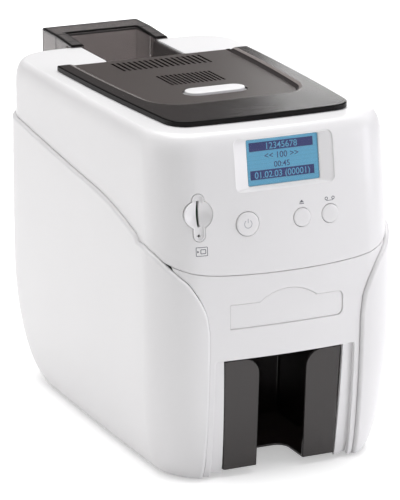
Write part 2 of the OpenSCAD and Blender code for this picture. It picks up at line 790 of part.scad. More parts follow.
module head_frame() {
  front = carriage_y - 16;
  color(steel) difference() {
    union() {
      box([-40, front, head_plate_z], [40, head_pivot_y - 3.6, head_plate_z + 2]);
      for (s = [-1, 1]) bar(4.5, s * 38 - 5, s * 38 + 5, head_pivot_y, head_pivot_z);
      for (s = [-1, 1]) translate([s * 39, 0, 0])
        box([-1, front, head_plate_z], [1, head_pivot_y, head_plate_z + 7]);
      for (s = [-1, 1]) translate([s * guide_pin_x, carriage_y, carriage_top - pin_reach])
        cylinder(r = guide_pin_r, h = head_plate_z - carriage_top + pin_reach + 1);
    }
    for (s = [-1, 1]) bar(3 + run_gap, s * 38 - 6, s * 38 + 6, head_pivot_y, head_pivot_z);
    box([-30, carriage_y + 15, head_plate_z - 1], [30, head_pivot_y - 12, head_plate_z + 3]);
  }
}

module head_carriage() {
  color("#a9adb3") difference() {
    box([-30, carriage_y - 10, card_top + 3], [30, carriage_y + 10, carriage_top]);
    for (s = [-1, 1]) translate([s * guide_pin_x, carriage_y, carriage_top - pin_reach - head_lift - 2])
      cylinder(r = guide_pin_r + run_gap, h = 30);
    for (i = [-4:4]) box([i * 3.4 - 0.8, carriage_y - 20, card_top + 14], [i * 3.4 + 0.8, carriage_y - 4, carriage_top + 1]);
    for (i = [-4:4]) box([i * 3.4 - 0.8, carriage_y + 4, card_top + 14], [i * 3.4 + 0.8, carriage_y + 20, carriage_top + 1]);
  }
}

module print_head() {
  color("#d9c9a0") {
    box([-30, carriage_y - 10, card_top + 1.2], [30, carriage_y + 10, card_top + 3]);
    intersection() {
      bar(3, -28, 28, platen_y, card_top + 3.6);
      box([-30, platen_y - 3, card_top + 0.5], [30, platen_y + 3, card_top + 1.2 + eps]);
    }
  }
}

// Coil of round wire, its axis along Z
module coil(coil_r, wire_r, height, turns) {
  steps = 12;
  sides = 6;
  rings = [for (i = [0:steps * turns])
    let (a = 360 * i / steps, z = wire_r + (height - 2 * wire_r) * i / (steps * turns))
    [for (k = [0:sides - 1]) let (b = -360 * k / sides, r = coil_r + wire_r * cos(b))
      [r * cos(a), r * sin(a), z + wire_r * sin(b)]]];
  loft(rings);
}

module head_springs() {
  color(steel) for (s = [-1, 1]) translate([s * guide_pin_x, carriage_y, carriage_top])
    coil(3.6, 0.6, head_plate_z - carriage_top, 5);
}

// ---- Lid ---------------------------------------------------------------------------------

module tray_outline() {
  tray_half = lid_w / 2 - 10.5;
  tray_l = 144;
  polygon([for (p = loop(tray_half, lid_rear - tray_l, lid_rear + 30, 24, 3))
    let (along = (lid_rear - p.y) / tray_l) [p.x * (1 - 0.125 * along * along), p.y]]);
}

module vent_slots(count, pitch, width, y0, y1) {
  for (i = [0:count - 1]) translate([(i - (count - 1) / 2) * pitch, 0, 0])
    box([-width / 2, y0, lid_z - 1], [width / 2, y1, lid_top + 1]);
}

latch_half = 12;
latch_z = lid_z - 7.4;
latch_t = 2;
latch_nose = lid_front + lid_lap + side_gap;
guides_at = [lid_front + 20, lid_front + 54];

module top_lid() {
  color(smoke) difference() {
    union() {
      translate([0, 0, lid_z]) linear_extrude(lid_t) difference() {
        polygon(lid_outline(0));
        for (s = [-1, 1]) translate([s > 0 ? barrel_half : -100, hinge_y - barrel_r]) square([100 - barrel_half, 60]);
        translate([-100, hinge_y]) square([200, 60]);
      }
      bar(barrel_r, -barrel_half, barrel_half, hinge_y, hinge_z);
      for (y = guides_at) box([-latch_half - 3, y - 4, latch_z - 1.8], [latch_half + 3, y + 4, lid_z + eps]);
    }
    translate([0, 0, tray_z]) linear_extrude(10) tray_outline();
    vent_slots(17, 4.2, 2, lid_rear - 32.5, lid_rear - 8.2);
    vent_slots(13, 3.3, 1.7, lid_rear - 84, lid_rear - 55.5);
    translate([0, release_y, lid_z]) rotate([90, 0, 0]) rotate([90, 0, 0]) translate([0, 0, -10]) linear_extrude(20)
      stadium(47.6, 9.5);
    for (y = guides_at) box([-latch_half - side_gap, y - 6, latch_z - side_gap],
      [latch_half + side_gap, y + 6, latch_z + latch_t + side_gap]);
    for (s = [-1, 1]) bar(hinge_pin_r + run_gap, s * barrel_half - 14, s * barrel_half + 14, hinge_y, hinge_z);
  }
}

module stadium(length, r) {
  square([length - 2 * r, 2 * r], center = true);
  for (s = [-1, 1]) translate([s * (length / 2 - r), 0]) circle(r);
}

module lid_hinge_pins() {
  color(steel) for (s = [-1, 1])
    bar(hinge_pin_r, s * barrel_half + (s > 0 ? -13 : -4.5), s * barrel_half + (s > 0 ? 4.5 : 13), hinge_y, hinge_z);
}

module lid_hinge_brackets() {
  under = body_h - cover_wall;
  color(white) for (s = [-1, 1]) mirror([s > 0 ? 0 : 1, 0, 0]) difference() {
    union() {
      bar(barrel_r - 0.3, barrel_half + 0.8, barrel_half + 4, hinge_y, hinge_z);
      box([barrel_half + 0.8, hinge_y - 2.9, under - 6], [barrel_half + 4, hinge_y + 2.9, hinge_z]);
      box([barrel_half + 0.8, hinge_y - 2.9, under - 6], [barrel_half + 4, lid_rear + 12, under - 2.4]);
      box([barrel_half + 0.8, lid_rear + part_gap + 0.4, under - 3], [barrel_half + 10, lid_rear + 12, under]);
    }
    bar(hinge_pin_r, barrel_half - 2, barrel_half + 8, hinge_y, hinge_z);
  }
}

module lid_release_button() {
  plate_z = latch_z + latch_t;
  color(white) translate([0, release_y, 0]) {
    translate([0, 0, lid_z - 0.6]) linear_extrude(tray_z - lid_z + 1.4) stadium(45, 8.2);
    translate([0, 0, tray_z + 0.8 - eps]) linear_extrude(0.5, scale = 0.95) stadium(45, 8.2);
    translate([0, 0, lid_z - 2.2]) linear_extrude(1.7) stadium(50, 10.8);
    translate([0, 0, lid_z - 2.2 + eps]) rotate([180, 0, 0]) linear_extrude(lid_z - 2.2 - plate_z + 3) square([8, 2 * stem_half], center = true);
  }
}

// The button's stem enters the window; its lower end is a wedge that draws the latch back
module lid_latch() {
  rear = release_y + 9;
  color(steel) difference() {
    box([-latch_half, latch_nose, latch_z], [latch_half, rear, latch_z + latch_t]);
    box([-5, release_y - stem_half - release_travel - 1.4, latch_z - 1], [5, release_y + stem_half + 0.7, latch_z + latch_t + 1]);
  }
}

// ---- Hoppers -----------------------------------------------------------------------------

module input_hopper() {
  top = body_h + feed_rise;
  floor_z = path_h - hopper_wall;
  outer_y = rear_y + part_gap;
  wall = hopper_wall;
  flange_front = outer_y - 9;
  flange_base = body_h + side_gap;
  flange_top = flange_base + 1.8;
  color(smoke) difference() {
    union() {
      box([-chute_outer, chute_front - chute_wall, floor_z], [chute_outer, outer_y + 3, body_h - 1]);
      box([-feed_half, outer_y, floor_z], [feed_half, hopper_back, top]);
      for (s = [-1, 1]) translate([s * (chute_half + feed_half) / 2, 0, 0]) { // flanges over the deck
        lip = (feed_half - chute_half) / 2;
        box([-lip, flange_front, flange_base], [lip, outer_y + 3, top]);
      }
    }
    box([-chute_half, chute_front, path_h], [chute_half, chute_back, top + 1]);
    difference() { // hollow between the inner and the outer wall, open below
      box([wall - feed_half, outer_y + wall, floor_z - 1], [feed_half - wall, hopper_back - wall, top - wall]);
      box([-chute_half - chute_wall, outer_y, floor_z - 2], [chute_half + chute_wall, chute_back + chute_wall, top]);
    }
    box([-chute_half + 0.4, chute_front - 5, path_h], [chute_half - 0.4, chute_front + 5, path_h + card_t + 0.5]);
    box([-sleeve_half - 1, pick_y - 9, floor_z - 1], [sleeve_half + 1, pick_y + 9, path_h + 1]);
    rotate([90, 0, 90]) linear_extrude(200, center = true) // the top falls towards the deck
      polygon([[chute_back - 4, top], [flange_front - 1, flange_top],
        [flange_front - 1, top + 5], [chute_back - 4, top + 5]]);
    for (s = [-1, 1]) translate([s * feed_half, hopper_back, top]) rotate([0, s * 45, 0])
      cube([1.6, 2 * back_box, 1.6], center = true);
    translate([0, hopper_back, top]) rotate([45, 0, 0]) cube([200, 1.6, 1.6], center = true);
  }
}

// Stacker: a bin with two front flanges, a cut-out for the finger and a front that leans
module output_hopper() {
  lean = 4.5;
  wall = hopper_wall;
  function half_at(z) = stack_foot + (stack_half - stack_foot) * (z - stack_floor) / (stack_top - stack_floor);
  module shell(d, top) {
    loft([for (z = [stack_floor + d, top])
      let (h = half_at(z) - d, yf = stack_front + lean * (1 - (z - stack_floor) / (stack_top - stack_floor)) + d)
      [[-h, yf, z], [h, yf, z], [h, stack_back - d, z], [-h, stack_back - d, z]]]);
  }
  color(smoke) difference() {
    shell(0, stack_top);
    shell(wall, stack_top + 5);
    difference() { // way between the flanges, with round upper corners
      translate([0, stack_back - 60, 0]) rotate([90, 0, 0]) linear_extrude(100) {
        translate([-stack_gap, -5]) square([2 * stack_gap, stack_top + 10]);
        translate([-stack_gap - 12, stack_top - 12]) square([2 * stack_gap + 24, 30]);
      }
      for (s = [-1, 1]) translate([s * (stack_gap + 12), 0, stack_top - 12]) rotate([90, 0, 0])
        cylinder(r = 12, h = 400, center = true);
      box([-200, stack_front + lean + 0.6 + wall, stack_floor - 1], [200, stack_back, stack_floor + wall]);
      for (s = [-1, 1]) translate([s * 100, 0, 0]) box([stack_gap - 88, -260, 0], [88 - stack_gap, 260, 200]);
    }
    translate([0, stack_front + 17, stack_floor - 1]) linear_extrude(wall + 2) // finger cut-out in the floor
      offset(8) square([2 * stack_gap - 16, 18], center = true);
    box([-stack_gap, stack_front - 1, stack_floor - 1], [stack_gap, stack_front + 17, stack_floor + wall + 1]);
  }
}

// ---- Front panel -------------------------------------------------------------------------

module display_glass() {
  color("#6fb6d6", 0.6) on_front(0, glass_z)
    box([-glass_w / 2 + 0.2, 4.2, -glass_h / 2 + 0.2], [glass_w / 2 - 0.2, 6.2, glass_h / 2 - 0.2]);
}

module display_module() {
  color(board_green) on_front(0, glass_z) {
    box([-glass_w / 2 - 9, 7.4, -glass_h / 2 - 5], [glass_w / 2 + 9, 9, glass_h / 2 + 3]);
    box([-glass_w / 2 - 4, 6.2, -glass_h / 2 - 2], [glass_w / 2 + 4, 7.4, glass_h / 2 + 2]);
  }
}

stem_end = 9;
board_y = stem_end + button_travel + 3.6;

module press_button(x, r) {
  color(white) on_front(x, button_z) rotate([90, 0, 0]) {
    translate([0, 0, -6]) cylinder(r = r, h = 6.3);
    translate([0, 0, 0.3 - eps]) cylinder(r1 = r, r2 = r - 0.4, h = 0.4);
    translate([0, 0, -6]) cylinder(r = r + 1, h = 2);
    translate([0, 0, -stem_end]) cylinder(r = 2, h = 4);
  }
}

module power_button() { press_button(power_x, power_r); }
module eject_button() { press_button(eject_x, button_r); }
module ribbon_button() { press_button(ribbon_x, button_r); }

module button_board() {
  color(board_green) on_front(0, button_z) {
    box([power_x - 14, board_y, -11], [ribbon_x + 12, board_y + 1.6, 11]);
    for (x = [power_x, eject_x, ribbon_x])
      box([x - 3, stem_end + button_travel + side_gap + bow_at(x), -3], [x + 3, board_y + eps, 3]);
    for (x = [power_x - 11, 0, ribbon_x + 9]) // posts that stand on the inside of the housing
      box([x - 1.5, cover_wall + 0.8 + bow_at(x), 8], [x + 1.5, board_y + eps, 10.6]);
  }
}

// Outline of the card slot insert: upright and round-ended, wider where a finger reaches in
module insert_block(y0, y1, g) {
  translate([0, y1, 0]) rotate([90, 0, 0]) linear_extrude(y1 - y0) {
    hull() for (z = [-12.6, 12.6]) translate([0, z]) circle(4.6 + g);
    translate([0, 2.4]) circle(7.6 + g);
  }
}

module card_slot_insert() {
  slot = [0.9, 8];
  color(white) on_front(insert_x, insert_z) rotate([0, 0, insert_turn]) difference() {
    insert_block(0.2, 5.4, 0);
    hull() for (z = [-12.6, 12.6]) translate([0, 1.8, z]) rotate([90, 0, 0]) cylinder(r = 3.7, h = 8, $fn = 32);
    translate([0, -6.4, 2.4]) sphere(r = 10.2);
    box([-slot.x, -1, -slot.y], [slot.x, 20, 3 + slot.y]);
    translate([0, 20, -13.4]) rotate([90, 0, 0]) cylinder(r = 1, h = 40);
  }
}

module card_reader_board() {
  color(board_green) on_front(insert_x, insert_z) rotate([0, 0, insert_turn]) {
    difference() {
      box([-5, 5.8, -12], [5, 28, 14]);
      box([-0.9, 0, -8], [0.9, 24, 11]);
    }
    box([5, 5.8, -16], [6.6, 40, 16]);
  }
}

// ---- Electronics -------------------------------------------------------------------------

module main_board() {
  y0 = platen_y - 20;
  y1 = rear_y - 12;
  t = 1.2;
  color(board_green) {
    box([-42, y0, board_z], [42, y1, board_z + t]);
    box([-20, y0 + 40, board_z + t], [4, y0 + 64, board_z + t + 2]);
    box([14, y0 + 30, board_z + t], [34, y0 + 44, board_z + t + 9]);
    for (i = [0:2]) translate([-32, y0 + 30 + 14 * i, board_z + t]) cylinder(r = 4.5, h = 11);
  }
}

module socket_shell(x, half, cavity, height) {
  difference() {
    box([x - half, socket_y - 16.4, board_z + 1.2], [x + half, socket_y, board_z + 1.2 + height]);
    box([x - cavity.x, socket_y - 14.4, board_z + 1.2 + height / 2 - cavity.y],
        [x + cavity.x, socket_y + 1, board_z + 1.2 + height / 2 + cavity.y]);
  }
}

module power_inlet() {
  mid = board_z + 1.2 + 5.6;
  color("#202020") socket_shell(inlet_x, 7, [5.2, 3.8], 11.2);
  color(steel) for (s = [-1, 1]) translate([inlet_x + s * 2.6, 0, 0])
    box([-0.4, socket_y - 16.4, mid - 1.5], [0.4, socket_y - 8.4, mid + 1.5]);
}

module usb_socket() {
  mid = board_z + 1.2 + 5.6;
  color(steel) socket_shell(usb_x, 6, [4.3, 4], 11.2);
  color("#e8e8e8") box([usb_x - 2.8, socket_y - 14.4 - eps, mid - 1.6], [usb_x + 2.8, socket_y - 6.4, mid + 1.6]);
}

// ---- Pieces

base_tray();
rubber_feet();
left_side_cover();
right_side_cover();
upper_housing();
lower_front_panel();
slot_blank_plate();
rear_panel();
rear_screws();
top_lid();
lid_hinge_pins();
lid_hinge_brackets();
lid_release_button();
lid_latch();
input_hopper();
output_hopper();
display_glass();
display_module();
power_button();
eject_button();
ribbon_button();
button_board();
card_slot_insert();
card_reader_board();
chassis_left_plate();
chassis_right_plate();
chassis_cross_bars();
card_guides();
shaft_bushes();
pick_roller();
transport_roller();
platen_roller();
exit_roller();
transport_pinch_roller();
exit_pinch_roller();
cleaning_roller();
pick_gear();
pick_idler_gear();
transport_gear();
transport_idler_gear();
platen_gear();
exit_idler_gear();
exit_gear();
feed_motor();
motor_pinion();
head_frame();
head_pivot_shaft();
head_carriage();
print_head();
head_springs();
ribbon_cassette();
supply_spool();
takeup_spool();
ribbon_film();
takeup_gear();
takeup_motor();
takeup_pinion();
main_board();
power_inlet();
usb_socket();
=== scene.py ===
import json
import math
import bpy
from mathutils import Matrix, Vector


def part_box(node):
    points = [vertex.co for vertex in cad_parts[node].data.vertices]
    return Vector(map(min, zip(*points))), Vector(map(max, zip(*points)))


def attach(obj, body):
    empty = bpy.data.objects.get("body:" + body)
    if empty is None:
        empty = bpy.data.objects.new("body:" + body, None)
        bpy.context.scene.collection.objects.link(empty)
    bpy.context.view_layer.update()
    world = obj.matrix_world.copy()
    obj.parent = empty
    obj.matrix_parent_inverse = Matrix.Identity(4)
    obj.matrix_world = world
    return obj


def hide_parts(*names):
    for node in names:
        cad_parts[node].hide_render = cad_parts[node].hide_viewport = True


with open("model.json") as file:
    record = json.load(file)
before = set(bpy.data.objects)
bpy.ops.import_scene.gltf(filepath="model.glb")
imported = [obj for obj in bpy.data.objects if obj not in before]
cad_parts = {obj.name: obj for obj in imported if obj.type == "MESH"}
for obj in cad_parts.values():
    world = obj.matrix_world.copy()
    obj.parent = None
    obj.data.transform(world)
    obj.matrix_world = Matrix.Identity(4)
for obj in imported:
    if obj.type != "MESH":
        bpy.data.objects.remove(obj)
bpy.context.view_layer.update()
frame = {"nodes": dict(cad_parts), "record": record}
nodes = frame["nodes"]
mm = 0.001  # lengths below are in millimetres


# tools used by every piece

def low(node):
    return Vector(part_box(node)[0]) / mm


def high(node):
    return Vector(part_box(node)[1]) / mm


def startFresh():
    if bpy.context.object and bpy.context.object.mode != "OBJECT":
        bpy.ops.object.mode_set(mode="OBJECT")
    bpy.ops.object.select_all(action="DESELECT")


def named(name):
    piece = bpy.context.object
    piece.name = name
    piece.data.name = name
    return piece


def activate(piece):
    startFresh()
    piece.select_set(True)
    bpy.context.view_layer.objects.active = piece


def edit(piece):
    activate(piece)
    bpy.ops.object.mode_set(mode="EDIT")


def done():
    bpy.ops.object.mode_set(mode="OBJECT")


def select(what="SELECT"):
    bpy.ops.mesh.select_all(action=what)


def pick(piece, kind, chosen):
    # leaves the piece in edit mode with the numbered vertices, edges or faces selected
    edit(piece)
    bpy.ops.mesh.select_mode(type=kind)
    select("DESELECT")
    done()
    data = piece.data
    parts = {"VERT": data.vertices, "EDGE": data.edges, "FACE": data.polygons}[kind]
    for i in chosen:
        parts[i].select = True
    edit(piece)


def pickFaces(piece, test):
    # selects the faces whose middle and normal pass the test
    startFresh()
    pick(piece, "FACE", [f.index for f in piece.data.polygons if test(f.center / mm, f.normal)])


def sharpEdges(piece, degrees, test):
    # selects edges whose faces meet at more than the angle and whose ends pass the test
    pick(piece, "EDGE", ())
    bpy.ops.mesh.edges_select_sharp(sharpness=math.radians(degrees))
    done()
    at = [v.co / mm for v in piece.data.vertices]
    pick(piece, "EDGE", [e.index for e in piece.data.edges
                         if e.select and test(at[e.vertices[0]], at[e.vertices[1]])])


def roundPicked(width, segments, **more):
    # rounds the selected edges and ends editing
    bpy.ops.mesh.bevel(offset=width * mm, segments=segments, affect="EDGES", clamp_overlap=True, **more)
    done()


def paint(piece, index, test):
    # gives one of the piece's own materials to the faces that pass the test
    pickFaces(piece, test)
    piece.active_material_index = index
    bpy.ops.object.material_slot_assign()
    done()


def closeHoles():
    select("DESELECT")
    bpy.ops.mesh.select_non_manifold()
    bpy.ops.mesh.edge_face_add()


def turnOutwards():
    # points all faces outwards and ends editing
    select()
    bpy.ops.mesh.normals_make_consistent(inside=False)
    done()


def addModifier(piece, kind, **settings):
    activate(piece)
    modifier = piece.modifiers.new(kind.title(), kind)
    for key, value in settings.items():
        setattr(modifier, key, value)
    bpy.ops.object.modifier_apply(modifier=modifier.name)


def cutAway(piece, cutter):
    addModifier(piece, "BOOLEAN", operation="DIFFERENCE", object=cutter, solver="EXACT")
    bpy.data.objects.remove(cutter)


def loft(name, rings, closed=False, caps=True):
    # a skin through rings of points: each ring is extruded from the last and moved to its place
    count = len(rings[0])
    startFresh()
    bpy.ops.mesh.primitive_circle_add(vertices=count, radius=mm)
    piece = named(name)
    for v, p in zip(piece.data.vertices, rings[0]):
        v.co = Vector(p) * mm
    current = list(range(count))
    for ring in rings[1:] + (rings[:1] if closed else []):
        before = len(piece.data.vertices)
        at = {tuple(round(c, 9) for c in piece.data.vertices[i].co): n for n, i in enumerate(current)}
        pick(piece, "VERT", current)
        bpy.ops.mesh.extrude_region_move(TRANSFORM_OT_translate={"value": (0, 0, 0)})
        done()
        grown = [0] * count
        for v in list(piece.data.vertices)[before:]:
            grown[at[tuple(round(c, 9) for c in v.co)]] = v.index
        for i, p in zip(grown, ring):
            piece.data.vertices[i].co = Vector(p) * mm
        current = grown
    edit(piece)
    if closed:
        select()
        bpy.ops.mesh.remove_doubles(threshold=1e-7)
    elif caps:
        closeHoles()
    turnOutwards()
    return piece


def settle(piece):
    # puts the piece's place, turn and size into its mesh
    activate(piece)
    bpy.ops.object.transform_apply(location=True, rotation=True, scale=True)
    return piece


def block(name, lo, hi, round=0.0, segments=2):
    # box between two corners, its edges rounded
    startFresh()
    lo, hi = Vector(lo), Vector(hi)
    bpy.ops.mesh.primitive_cube_add(size=1, location=(lo + hi) / 2 * mm, scale=(hi - lo) * mm)
    piece = settle(named(name))
    if round:
        edit(piece)
        select()
        bpy.ops.mesh.bevel(offset=round * mm, segments=segments, affect="EDGES")
        done()
    return piece


def slab(name, loop, lowZ, highZ):
    # upright plate with an outline of (x, y) points
    return loft(name, [[(x, y, lowZ) for x, y in loop], [(x, y, highZ) for x, y in loop]])


def addTo(piece, other):
    addModifier(piece, "BOOLEAN", operation="UNION", object=other, solver="EXACT")
    bpy.data.objects.remove(other)


def placeAt(piece, matrix):
    # moves a piece made round the origin to its place
    activate(piece)
    toMm, toMetres = (Matrix.Diagonal((k, k, k, 1)) for k in (1 / mm, mm))
    piece.matrix_world = toMetres @ matrix @ toMm @ piece.matrix_world
    return settle(piece)


def copyPiece(piece, name, matrix=None):
    startFresh()
    twin = piece.copy()
    twin.data = piece.data.copy()
    bpy.context.scene.collection.objects.link(twin)
    twin.name = name
    twin.data.name = name
    if matrix:
        placeAt(twin, matrix)
    return twin


def joinPieces(pieces, name):
    startFresh()
    for p in pieces:
        p.select_set(True)
    bpy.context.view_layer.objects.active = pieces[0]
    if len(pieces) > 1:
        bpy.ops.object.join()
    return named(name)


def smooth(piece, degrees=35):
    activate(piece)
    bpy.ops.object.shade_smooth_by_angle(angle=math.radians(degrees))
    # large flats stay flat beside small rounds
    addModifier(piece, "WEIGHTED_NORMAL", mode="FACE_AREA", keep_sharp=True)


def finishPiece(piece, body, material, replaced=()):
    settle(piece)
    if not piece.data.materials:
        piece.data.materials.append(material)
    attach(piece, body)
    for node in replaced:
        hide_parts(node)


def steps(a, b, pitch):
    # even steps from one value to another, about as far apart as the pitch
    n = max(1, round(abs(b - a) / pitch))
    return [a + (b - a) * i / n for i in range(n + 1)]


def arc(cx, cy, r, start, end, pitch):
    # points on a circle from one angle to another, in degrees
    return [(cx + r * math.cos(math.radians(a)), cy + r * math.sin(math.radians(a)))
            for a in steps(start, end, pitch)]


def mirrored(right):
    # a right half from the middle of one end to the other, and the same again on the left
    return right + [(-x, y) for x, y in reversed(right) if x > 0]


def walk(path, pitches):
    # points in even steps along the straight legs of a path, the last corner left out
    points = []
    for p, q, pitch in zip(path, path[1:], pitches):
        n = max(1, round(math.dist(p, q) / pitch))
        points += [(p[0] + (q[0] - p[0]) * i / n, p[1] + (q[1] - p[1]) * i / n) for i in range(n)]
    return points


def ringLoop(x, z, r, count=48):
    turns = [2 * math.pi * i / count for i in range(count)]
    return [(x + r * math.cos(a), z + r * math.sin(a)) for a in turns]


def boxLoop(x0, x1, z0, z1, r, bend=6, across=12, up=8):
    # rounded rectangle, counted round from the lower right, with even points on its sides
    loop = []
    wide, high = x1 - x0 - 2 * r, z1 - z0 - 2 * r
    for cx, cz, start, dx, dz, n in ((x1 - r, z0 + r, -90, 0, high, up),
                                     (x1 - r, z1 - r, 0, -wide, 0, across),
                                     (x0 + r, z1 - r, 90, 0, -high, up),
                                     (x0 + r, z0 + r, 180, wide, 0, across)):
        loop += arc(cx, cz, r, start, start + 90, 90 / bend)
        loop += [(loop[-1][0] + dx * i / n, loop[-1][1] + dz * i / n) for i in range(1, n)]
    return loop


def plainBox(x0, x1, z0, z1, r, bend):
    # rounded rectangle with no points on its straight sides
    return boxLoop(x0, x1, z0, z1, r, bend, 1, 1)


# the shape of the body: one outline, drawn in towards the table and rounded at the rim

shell = {
    "lip": 2.6,          # how far the side covers stand proud
    "wall": 2.5,
    "skinZ": 2.0,
    "sillIn": 16.0,
    "sillHigh": 96.0,
    "rimIn": 6.0,
    "rimHigh": 16.0,
    "frontCorner": 28.0,
    "rearCorner": 24.0,
    "frontBow": 7.0,
    "rearBow": 3.0,
    "sideBow": 0.02,
    "topLean": 9.0,
    "footLean": 7.5,
    "gap": 0.3,
    "clear": 0.3,         # no cut is made nearer than this to a plate's end
}
shell["frontY"] = low("lower_front_panel").y
shell["rearY"] = high("rear_panel").y
shell["top"] = high("upper_housing").z
shell["half"] = high("right_side_cover").x - shell["lip"]
shell["bulgeZ"] = shell["top"] - 129.8
sillTop = shell["skinZ"] + shell["sillHigh"]
rimFoot = shell["top"] - shell["rimHigh"]


def quarterArc(a, b):
    # length of a quarter of an ellipse
    return math.pi / 4 * (3 * (a + b) - math.sqrt((3 * a + b) * (a + 3 * b)))


sillArc = quarterArc(shell["sillIn"], shell["sillHigh"])
rimArc = quarterArc(shell["rimIn"], shell["rimHigh"])
sheetLow = sillTop - sillArc
sheetTop = rimFoot + rimArc


def heightOf(t):
    if t < sillTop:
        return sillTop - shell["sillHigh"] * math.sin(min((sillTop - t) / sillArc, 1) * math.pi / 2)
    if t > rimFoot:
        return rimFoot + shell["rimHigh"] * math.sin(min((t - rimFoot) / rimArc, 1) * math.pi / 2)
    return t


def sheetOf(z):
    if z < sillTop:
        return sillTop - sillArc * math.asin(min((sillTop - z) / shell["sillHigh"], 1)) * 2 / math.pi
    if z > rimFoot:
        return rimFoot + rimArc * math.asin(min((z - rimFoot) / shell["rimHigh"], 1)) * 2 / math.pi
    return z


def rounding(inset, high, depth):
    return 0 if depth < 0 else inset * (1 - math.sqrt(max(0, 1 - (depth / high) ** 2)))


def outlineAt(z):
    sill = rounding(shell["sillIn"], shell["sillHigh"], sillTop - z)
    rim = rounding(shell["rimIn"], shell["rimHigh"], z - rimFoot)
    above = z - shell["bulgeZ"]
    if above > 0:
        lean = shell["topLean"] * (above / (shell["top"] - shell["bulgeZ"] - 18)) ** 2
        tuck = 0.5 * (above / (shell["top"] - shell["bulgeZ"])) ** 2
    else:
        lean = shell["footLean"] * (above / (shell["bulgeZ"] - shell["skinZ"])) ** 2
        tuck = 0
    return {
        "half": shell["half"] - sill - rim - tuck,
        "front": shell["frontY"] + lean + rim + shell["frontBow"],
        "rear": shell["rearY"] - 0.6 * sill - rim - shell["rearBow"],
        "rearCorner": shell["rearCorner"] + 2 * sill,
    }


# lengths of the stretches of the outline at its widest, from the front's middle to the rear's
wide = outlineAt(shell["bulgeZ"])
stretches = [
    wide["half"] - shell["frontCorner"],
    shell["frontCorner"] * math.pi / 2,
    wide["rear"] - wide["front"] - shell["frontCorner"] - wide["rearCorner"],
    wide["rearCorner"] * math.pi / 2,
    wide["half"] - wide["rearCorner"],
]
corners = [sum(stretches[:i]) for i in range(6)]


def bodyPoint(s, t):
    z = heightOf(t)
    o = outlineAt(z)
    if abs(s) > corners[5]:
        s -= math.copysign(2 * corners[5], s)
    side = 1 if s >= 0 else -1
    s = abs(s)
    k = next(i for i in range(5) if s <= corners[i + 1])
    part = (s - corners[k]) / stretches[k]
    turn = part * math.pi / 2
    rf, rr = shell["frontCorner"], o["rearCorner"]
    if k == 0:
        x, y = (o["half"] - rf) * part, o["front"]
    elif k == 1:
        x, y = o["half"] - rf + rf * math.sin(turn), o["front"] + rf - rf * math.cos(turn)
    elif k == 2:
        x, y = o["half"], o["front"] + rf + (o["rear"] - rr - o["front"] - rf) * part
    elif k == 3:
        x, y = o["half"] - rr + rr * math.cos(turn), o["rear"] - rr + rr * math.sin(turn)
    else:
        x, y = (o["half"] - rr) * (1 - part), o["rear"]
    middle = (o["front"] - shell["frontBow"] + o["rear"] + shell["rearBow"]) / 2
    depth = (o["rear"] + shell["rearBow"] - o["front"] + shell["frontBow"]) / 2
    bow = 1 - (x / o["half"]) ** 2
    bowed = y - shell["frontBow"] * bow if y < middle else y + shell["rearBow"] * bow
    return Vector((side * x * (1 - shell["sideBow"] * ((y - middle) / depth) ** 2), bowed, z))


def bodyNormal(s, t):
    step = 0.02
    across = bodyPoint(s + step, t) - bodyPoint(s - step, t)
    up = bodyPoint(s, min(t + step, sheetTop)) - bodyPoint(s, max(t - step, sheetLow))
    return across.cross(up).normalized()


def aroundOf(x, z, rear=False):
    # place along the outline of a point on the front, or on the rear, at a distance from the middle
    lo, hi = (corners[2], corners[5]) if rear else (0, corners[2])
    t = sheetOf(z)
    for _ in range(40):
        mid = (lo + hi) / 2
        if (bodyPoint(mid, t).x < abs(x)) != rear:
            lo = mid
        else:
            hi = mid
    return math.copysign((lo + hi) / 2, x)


def shiftLoop(loop, d):
    # moves a closed outline inwards by d, or outwards where d is negative
    area = sum(p[0] * q[1] - q[0] * p[1] for p, q in zip(loop, loop[1:] + loop[:1]))
    d = math.copysign(1, area) * d
    out = []
    for i, p in enumerate(loop):
        before, after = Vector(loop[i - 1][:2]), Vector(loop[(i + 1) % len(loop)][:2])
        here = Vector(p[:2])
        e0, e1 = (here - before).normalized(), (after - here).normalized()
        n0, n1 = Vector((-e0.y, e0.x)), Vector((-e1.y, e1.x))
        middle = (n0 + n1).normalized()
        out.append(tuple(here + middle * d / max(middle.dot(n0), 0.5)))
    return out


def roundProfile(edge, segments):
    # (inset, drop) of each ring of a rounded edge, from the face down to the wall
    return [(edge * (1 - math.sin(a)), edge * (1 - math.cos(a)))
            for a in steps(0, math.pi / 2, math.pi / 2 / segments)]


def fillFlat():
    bpy.ops.mesh.fill(use_beauty=False)
    bpy.ops.mesh.dissolve_limited(angle_limit=math.radians(0.05))


